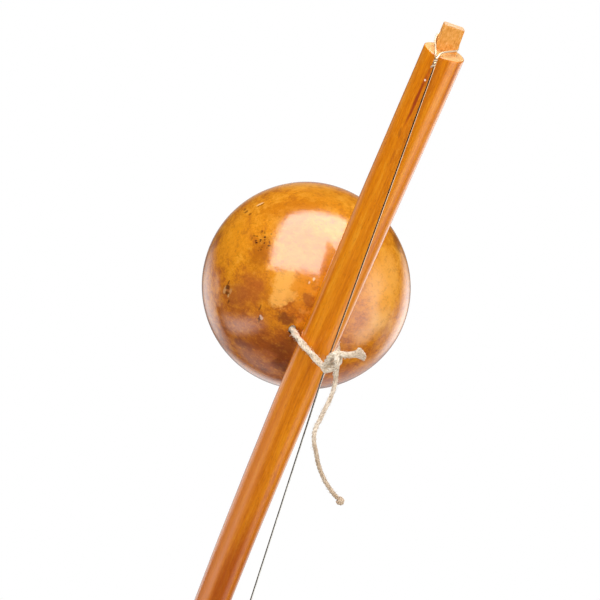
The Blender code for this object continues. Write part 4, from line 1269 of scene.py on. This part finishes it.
def make_gourd():
    """The shell with its mouth and its two bored holes, whose walls are painted dark as shade."""
    hole_shade = shaded_hole_wall()
    gourd = placed("gourd_uncut", whole_shell())
    for material in (varnished_gourd(), gourd_rim(), gourd_inside()):
        gourd.data.materials.append(material)
    drills = [hole_drill(-1.0, hole_shade), hole_drill(1.0, hole_shade)]
    for drill in drills:
        bore = gourd.modifiers.new("bore", "BOOLEAN")
        bore.operation = "DIFFERENCE"
        bore.solver = "EXACT"
        bore.material_mode = "TRANSFER"
        bore.object = drill
    bored = bpy.data.meshes.new_from_object(gourd.evaluated_get(bpy.context.evaluated_depsgraph_get()))
    for old in drills + [gourd]:
        bpy.data.objects.remove(old)
    bored.polygons.foreach_set("use_smooth", [True] * len(bored.polygons))
    bored.set_sharp_from_angle(angle=math.radians(35.0))
    shell = placed("gourd_shell", bored)
    shell.matrix_world = GOURD_PLACE
    belongs(shell, "gourd", "gourd_shell", "gourd")


make_gourd()


# Loop and knot

def loop_hole_out():
    """Distance out from the axis to the shell's outside at a loop hole."""
    away = math.hypot(LOOP_HOLE_SPREAD / 2, LOOP_HOLE_DROP)
    return GOURD_CENTRE - math.sqrt(GOURD_RADIUS ** 2 - away ** 2)


def string_slopes():
    """How far the string goes out per length along the stave, above and below the loop."""
    tilt = GRIP[2]
    slopes = []
    for end in (string_foot(), at_tip(STRING_TIP_SIDE, -pad_half(), 0.0)):
        out = end.y * math.cos(tilt) - end.z * math.sin(tilt)
        along = end.y * math.sin(tilt) + end.z * math.cos(tilt)
        slopes.append((out + STRING_HEIGHT) / (along - STRING_STATION))
    return slopes


def loop_middle():
    """Closed route, from the grip, midway between the two strands of the loop."""
    above, below = string_slopes()
    string = (STRING_SIDE, -STRING_HEIGHT - STRAND_OFFSET * (below - above) / 2)
    round_string = (STRING_RADIUS + CLEARANCE + TWINE_RADIUS) * math.hypot(1.0, below)
    round_stave = GRIP_RADIUS + CLEARANCE + TWINE_RADIUS + STRAND_OFFSET
    hole = (LOOP_HOLE_SPREAD / 2, loop_hole_out())
    left = outer_tangent(string, round_string, (0.0, 0.0), round_stave, -1)
    right = outer_tangent(string, round_string, (0.0, 0.0), round_stave, 1)
    flat = [circle(string, round_string, right), circle((0.0, 0.0), round_stave, right)]
    flat += [circle((0.0, 0.0), round_stave, right * 0.3), ((round_stave + hole[0]) / 2, hole[1] * 0.5)]
    flat += [hole, (hole[0] - 0.0014, hole[1] + 0.0065), (hole[0] * 0.55, LOOP_INNER_DEPTH - 0.0008)]
    flat += [(0.0, LOOP_INNER_DEPTH)]
    flat += [(-x, y) for x, y in reversed(flat[2:-1])]
    flat += [circle((0.0, 0.0), round_stave, left), circle(string, round_string, left)]
    flat += [circle(string, round_string, left + (right - left) * part / 5) for part in range(1, 5)]
    front = string[1] - round_string
    points = []
    for x, y in flat:
        part = (hole[1] - min(y, hole[1])) / (hole[1] - front)
        slack = LOOP_RIGHT_SLACK * math.sin(math.pi * min(1.0, part)) if x > 0.0 else 0.0
        part = min(1.0, part / LOOP_RISE_SHARE) if x < 0.0 else min(1.0, part) ** 3
        rise = (LOOP_FRONT_STATION + LOOP_HOLE_DROP) * part
        points.append(Vector((x, y, rise - LOOP_HOLE_DROP - slack)))
    around = smooth(points[-3:] + points + points[:3], 0.0008)
    start = min(range(len(around) // 2), key=lambda index: (around[index] - points[0]).length)
    end = min(range(len(around) // 2, len(around)), key=lambda index: (around[index] - points[0]).length)
    return around[start:end + 1]


def loop_strand():
    """The loop's one strand: two turns twisted round each other, from knot to knot."""
    per_turn = 90
    twists = 4.5
    middle = evenly(loop_middle(), per_turn + 1)
    spare = 3
    strand = []
    for index in range(spare, per_turn * 2 - spare + 1):
        here = index % per_turn
        before = middle[(here - 1) % per_turn]
        after = middle[(here + 1) % per_turn]
        ahead = (after - before).normalized()
        forward = min(1.0, max(0.0, -middle[here].y / STRING_HEIGHT))
        along = Vector((0.0, forward * sum(string_slopes()) / 2, 1.0))
        along = (along - ahead * along.dot(ahead)).normalized()
        outside = ahead.cross(along)
        angle = math.pi * (0.5 + 2.0 * twists * index / per_turn)
        strand.append(middle[here] + (outside * math.cos(angle) + along * math.sin(angle)) * STRAND_OFFSET)
    return [at_grip(point) for point in strand]


def make_loop():
    """The loop of laid twine, its knot and their loose fibres."""
    strand = loop_strand()
    left_hole = at_grip((-LOOP_HOLE_SPREAD / 2, loop_hole_out(), -LOOP_HOLE_DROP))
    hole = min(range(len(strand)), key=lambda index: (strand[index] - left_hole).length)
    shape = Shape()
    shape.laid_cord(strand, TWINE_DIAMETER * 1.04, TWINE_PITCH)
    belongs(shape.piece("loop_twine", TWINE), "gourd", "loop_twine", "gourd_loop")
    knot = Shape()
    fibres = Shape()
    thick = 0.00011
    fibres.hairs(strand, TWINE_DIAMETER * 1.06, count=1100, reach=0.0030, seed=41, thick=thick, lift=0.45)
    at_hole = strand[hole - 2:hole + 4]
    fibres.hairs(at_hole, TWINE_DIAMETER, count=34, reach=0.0030, seed=43, thick=thick, lift=1.2)
    for number, (points, share) in enumerate(KNOT_STRANDS):
        route = grip_route(points, 0.0008)
        wide = TWINE_DIAMETER * share
        knot.laid_cord(route, wide, KNOT_PITCH)
        fibres.hairs(route, wide, count=70, reach=0.0024, seed=50 + number, thick=thick, lift=0.4)
    tuft = grip_route(KNOT_TUFT, 0.0005)
    fibres.hairs(tuft, TWINE_DIAMETER * 0.4, count=16, reach=0.0014, seed=61, thick=0.00012)
    belongs(knot.piece("loop_knot_twine", TWINE), "gourd", "loop_twine", "loop_knot")
    belongs(fibres.piece("loop_fibres", TWINE), "gourd", "loop_twine")


make_loop()


# Tip

TIP_PLACE = frame_matrix(
    Vector((1.0, 0.0, 0.0)),
    at_tip(0.0, -1.0, 0.0) - at_tip(0.0, 0.0, 0.0),
    at_tip(0.0, 0.0, 1.0) - at_tip(0.0, 0.0, 0.0),
    at_tip(0.0, 0.0, 0.0))


def make_pad():
    """The leather pad, uneven, and dented where the string crosses it."""
    shape = Shape()
    profile = [(0.002, CLEARANCE), (0.006, CLEARANCE), (PAD_DIAMETER / 2 - 0.0004, CLEARANCE)]
    profile += [(PAD_DIAMETER / 2, CLEARANCE + 0.0005), (PAD_DIAMETER / 2, PAD_TOP - PAD_ROUND)]
    for degrees in (15, 30, 45, 60, 75, 90):
        angle = math.radians(degrees)
        profile.append((PAD_DIAMETER / 2 - PAD_ROUND * (1 - math.cos(angle)),
                        PAD_TOP - PAD_ROUND * (1 - math.sin(angle))))
    profile += [(PAD_DIAMETER / 2 * share, PAD_TOP) for share in (0.75, 0.6, 0.45, 0.3, 0.15, 0.04)]
    shape.turned(profile, TIP_PLACE, 64)
    for index, lay in enumerate(shape.lay):
        spot = Vector(lay)
        rough = 0.00022 * noise.noise(spot * 420.0)
        if spot.z > CLEARANCE + 0.001:
            dent = PAD_DENT * math.exp(-((spot.x - STRING_TIP_SIDE) / 0.0011) ** 2)
            spot.z += rough - dent
        edge = 1.0 + rough * 40.0
        shape.verts[index] = TIP_PLACE @ Vector((spot.x * edge, spot.y * edge, spot.z))
    belongs(shape.piece("tip_pad", pad_leather(), 60.0), "stave", "pad_leather", "leather_pad")


def make_tacks():
    """The tacks that hold the pad: a point, a shank and a domed head each."""
    brass = tack_brass()
    head = TACK_HEAD_DIAMETER / 2
    shank = TACK_SHANK_DIAMETER / 2
    point = PAD_TOP - TACK_LENGTH
    profile = [(0.00008, point), (shank, point + 0.002), (shank, PAD_TOP)]
    profile += [(head * 0.9, PAD_TOP + 0.0001), (head, PAD_TOP + 0.0002), (head * 0.99, PAD_TOP + 0.0004)]
    for degrees in (72, 58, 44, 30, 16, 5):
        angle = math.radians(degrees)
        profile.append((head * math.sin(angle), PAD_TOP + CLEARANCE + TACK_HEAD_HEIGHT * math.cos(angle)))
    for number, (side, out) in enumerate(TACK_PLACES, 1):
        shape = Shape()
        shape.turned(profile, TIP_PLACE @ Matrix.Translation((side, -out, 0.0)), 28)
        belongs(shape.piece(f"tip_tack_{number}", brass, 40.0), "stave", "tack_brass", f"tack_{number}")


def make_tie():
    """The tie cord: a bight through the eye, a knot and turns round the stave."""
    turn = STRING_RADIUS + CLEARANCE + TIE_RADIUS
    low = -EYE_STATION - EYE_RADIUS
    knot_top = low - TIE_KNOT_DROP

    def behind(out, beyond, side=0.0):
        """World point behind the tip, in line with the eye."""
        return at_tip(STRING_TIP_SIDE + side, out, beyond)

    bight = [behind(EYE_HEIGHT - turn, knot_top - 0.002), behind(EYE_HEIGHT - turn, (knot_top + low) / 2)]
    for degrees in range(180, -1, -20):
        angle = math.radians(degrees)
        bight.append(behind(EYE_HEIGHT + turn * math.cos(angle), low + turn * math.sin(angle)))
    bight += [behind(EYE_HEIGHT + turn, (knot_top + low) / 2), behind(EYE_HEIGHT + turn, knot_top - 0.002)]
    shape = Shape()
    shape.laid_cord(smooth(bight, 0.0006), TIE_DIAMETER, TIE_PITCH)
    belongs(shape.piece("tie_bight_cord", CORD), "stave", "tie_cord", "tie_bight")

    knot_middle = knot_top - CLEARANCE - TIE_KNOT_LENGTH / 2
    reach = TIE_KNOT_REACH
    steps = 52
    steps_per_turn = 20
    coil = []
    for index in range(steps + 1):
        angle = 2 * math.pi * index / steps_per_turn
        beyond = knot_middle + (index / steps - 0.5) * (TIE_KNOT_LENGTH - TIE_DIAMETER)
        coil.append(behind(EYE_HEIGHT + reach * 0.85 * math.cos(angle), beyond, reach * math.sin(angle)))
    shape = Shape()
    shape.laid_cord(coil, TIE_DIAMETER, TIE_COIL_PITCH)
    shares = (0.52, 0.2, -0.2, -0.62)
    core = [behind(EYE_HEIGHT - 0.0006, knot_middle + share * TIE_KNOT_LENGTH) for share in shares]
    shape.laid_cord(smooth(core, 0.0006), TIE_DIAMETER, TIE_PITCH)
    belongs(shape.piece("tie_knot_cord", CORD), "stave", "tie_cord", "tie_knot")

    begin = knot_middle - TIE_KNOT_LENGTH / 2 - 0.0010
    pitch = TIE_DIAMETER + TIE_GAP
    start_angle = math.atan2(STRING_TIP_SIDE, EYE_HEIGHT)
    steps_per_turn = 24
    settle = 10
    turns = []
    for index in range(steps_per_turn * TIE_TURNS + 1):
        angle = start_angle + 2 * math.pi * index / steps_per_turn
        ease = math.sin(math.pi / 2 * min(1.0, index / settle))
        station = STAVE_LENGTH + begin - 0.0045 - 0.0045 * ease - pitch * index / steps_per_turn
        radius = stave_radius(station) + CLEARANCE + TIE_RADIUS
        turns.append(on_stave(station, radius * math.sin(angle), radius * math.cos(angle), 0.0))
    route = smooth([behind(EYE_HEIGHT - 0.0012, begin)] + turns[:2], 0.0012)[:-1] + turns[1:]
    route.append(route[-1] + (route[-1] - route[-2]).normalized() * TIE_DIAMETER)
    shape = Shape()
    shape.laid_cord(route, TIE_DIAMETER, TIE_PITCH)
    shape.hairs(route, TIE_DIAMETER, count=120, reach=0.0016, seed=71, thick=0.00004)
    shape.hairs(route[-4:], TIE_DIAMETER, count=24, reach=0.0024, seed=73, thick=0.00006)
    belongs(shape.piece("tie_winding_cord", CORD), "stave", "tie_cord", "tie_winding")


make_pad()
make_tacks()
make_tie()


# Floor, light and surroundings

FLOOR_DROP = 0.004
FLOOR_REACH = 14.0
DIM_ROOM = 0.03


def bare_tree(holder):
    """The emptied nodes of a material or a world."""
    holder.use_nodes = True
    holder.node_tree.nodes.clear()
    return holder.node_tree


def make_floor():
    """A plain pale floor below the bow: lit near the bow, plain white further off."""
    material = bpy.data.materials.new("studio_floor")
    tree = bare_tree(material)
    place = add_node(tree, "TexCoord", give="Object")
    away = add_node(tree, "VectorMath", [place], "Value", operation="LENGTH")
    far = add_node(tree, "MapRange", [away, 0.7, 1.6, 0.0, 1.0], **EASED)
    seen = add_node(tree, "LightPath", give="Is Camera Ray")
    plain = add_node(tree, "Math", [far, seen], operation="MULTIPLY")
    matt = add_node(tree, "BsdfDiffuse", {"Color": "F4F4F4"})
    white = add_node(tree, "Emission", {"Color": "FFFFFF", "Strength": 1.0})
    mixed = add_node(tree, "MixShader", [plain, matt, white])
    add_node(tree, "OutputMaterial", {"Surface": mixed})
    corners = ((-1.0, -1.0, 0.0), (1.0, -1.0, 0.0), (1.0, 1.0, 0.0), (-1.0, 1.0, 0.0))
    shape = Shape()
    shape.sheet([Vector(corner) * FLOOR_REACH for corner in corners], 1)
    floor = shape.piece("floor", material)
    floor.location = (0.0, 0.0, CAD_BOX[0].z - FLOOR_DROP)
    floor.visible_glossy = False


# The studio as shiny surfaces mirror it: direction, reach round it and brightness, 1 being white. In turn:
# a soft box on the right, white cards behind it and behind the rim, the sweep behind, a low card on the left
# and its edge, the sweep's low part, the floor behind the bow and the floor below it
MIRRORED = (
    ((0.80, -0.55, 0.00), (0.55, 0.75, 0.90), 3.7),
    ((0.70, 0.60, -0.10), (0.40, 0.45, 0.45), 2.4),
    ((0.95, 0.30, -0.20), (0.20, 0.25, 0.40), 1.0),
    ((0.15, 0.95, 0.05), (0.45, 0.50, 0.60), 0.4),
    ((-0.40, 0.70, -0.40), (0.50, 0.90, 0.45), 1.9),
    ((-0.75, 0.60, -0.35), (0.15, 0.20, 0.20), 1.7),
    ((0.15, 0.70, -0.55), (0.40, 0.50, 0.35), 1.4),
    ((0.50, 0.55, -0.50), (0.45, 0.65, 0.75), 0.9),
    ((-0.15, 0.35, -0.90), (0.45, 0.45, 0.30), 0.9))


def make_surroundings():
    """White to the eye; in reflections a dim room with white behind the bow, below it and to its right."""
    world = bpy.data.worlds.new("studio")
    bpy.context.scene.world = world
    tree = bare_tree(world)
    way = add_node(tree, "TexCoord", give="Generated")
    mirrored = DIM_ROOM
    for centre, reach, bright in MIRRORED:
        glow = spot_mask(tree, way, centre, reach, 0.2, bright)
        mirrored = add_node(tree, "Math", [glow, mirrored], operation="MAXIMUM")
    path = add_node(tree, "LightPath").node.outputs
    shine = weighted(tree, (path["Is Glossy Ray"], 1.0), (path["Is Transmission Ray"], 1.0))
    level = add_node(tree, "Mix", {0: shine, 2: AMBIENT, 3: mirrored})
    level = add_node(tree, "Mix", {0: path["Is Camera Ray"], 2: level, 3: 1.0})
    back = add_node(tree, "Background", {"Color": "FFFFFF", "Strength": level})
    add_node(tree, "OutputWorld", {"Surface": back})


def make_lamp(name, place, upright, width, height, watts):
    """A soft rectangular lamp that faces the gourd; reflections show its panel instead."""
    data = bpy.data.lights.new(name, "AREA")
    data.shape = "RECTANGLE"
    data.size = width
    data.size_y = height
    data.energy = watts
    lamp = placed(name, data)
    away = Vector(place).normalized()
    across = Vector(upright).cross(away).normalized()
    lamp.matrix_world = frame_matrix(across, away.cross(across), away, GOURD_MIDDLE + Vector(place))
    lamp.visible_glossy = False


def make_panel(name, corners, strength, soft):
    """A white panel with edges that fade over a share of it, seen only as shiny surfaces mirror it."""
    material = bpy.data.materials.new(name)
    tree = bare_tree(material)
    lay = add_node(tree, "Attribute", give="Vector", attribute_name="lay")
    spot = add_node(tree, "SeparateXYZ", [lay]).node.outputs
    level = strength
    for axis in ("X", "Y"):
        for edge, inside in ((0.0, soft), (1.0, 1.0 - soft)):
            fade = add_node(tree, "MapRange", [spot[axis], edge, inside, 0.0, 1.0], **EASED)
            level = add_node(tree, "Math", [level, fade], operation="MULTIPLY")
    white = add_node(tree, "Emission", {"Color": "FFFFFF", "Strength": level})
    add_node(tree, "OutputMaterial", {"Surface": white})
    shape = Shape()
    shape.sheet([GOURD_MIDDLE + Vector(corner) for corner in corners], 12)
    panel = shape.piece(name, material)
    panel.visible_camera = False
    panel.visible_diffuse = False
    panel.visible_shadow = False
    panel.visible_transmission = False


# Corners of the window and of a white board, from the gourd's middle
WINDOW_CORNERS = ((-0.72, 0.33, 1.24), (0.63, 0.30, 1.72), (0.22, -2.04, 0.74), (-1.80, -1.08, 0.22))
BOARD_CORNERS = ((-0.73, -0.70, -0.56), (-0.73, 0.65, -0.56), (-0.52, 0.65, -0.90), (-0.52, -0.70, -0.90))
make_floor()
make_surroundings()
make_lamp("window", (-0.37, -0.46, 1.02), (-0.03, 0.88, 0.476), width=1.50, height=1.90, watts=17.0)
make_lamp("front_fill", (-0.45, -1.35, 0.15), (0.0, 0.0, 1.0), width=1.2, height=1.2, watts=6.0)
make_lamp("side_fill", (1.19, -0.51, 0.11), (0.0, 0.0, 1.0), width=1.0, height=1.0, watts=6.5)
make_panel("window_front", WINDOW_CORNERS, strength=10.3, soft=0.16)
make_panel("board_front", BOARD_CORNERS, strength=3.0, soft=0.45)

bpy.context.scene.view_settings.view_transform = "Standard"
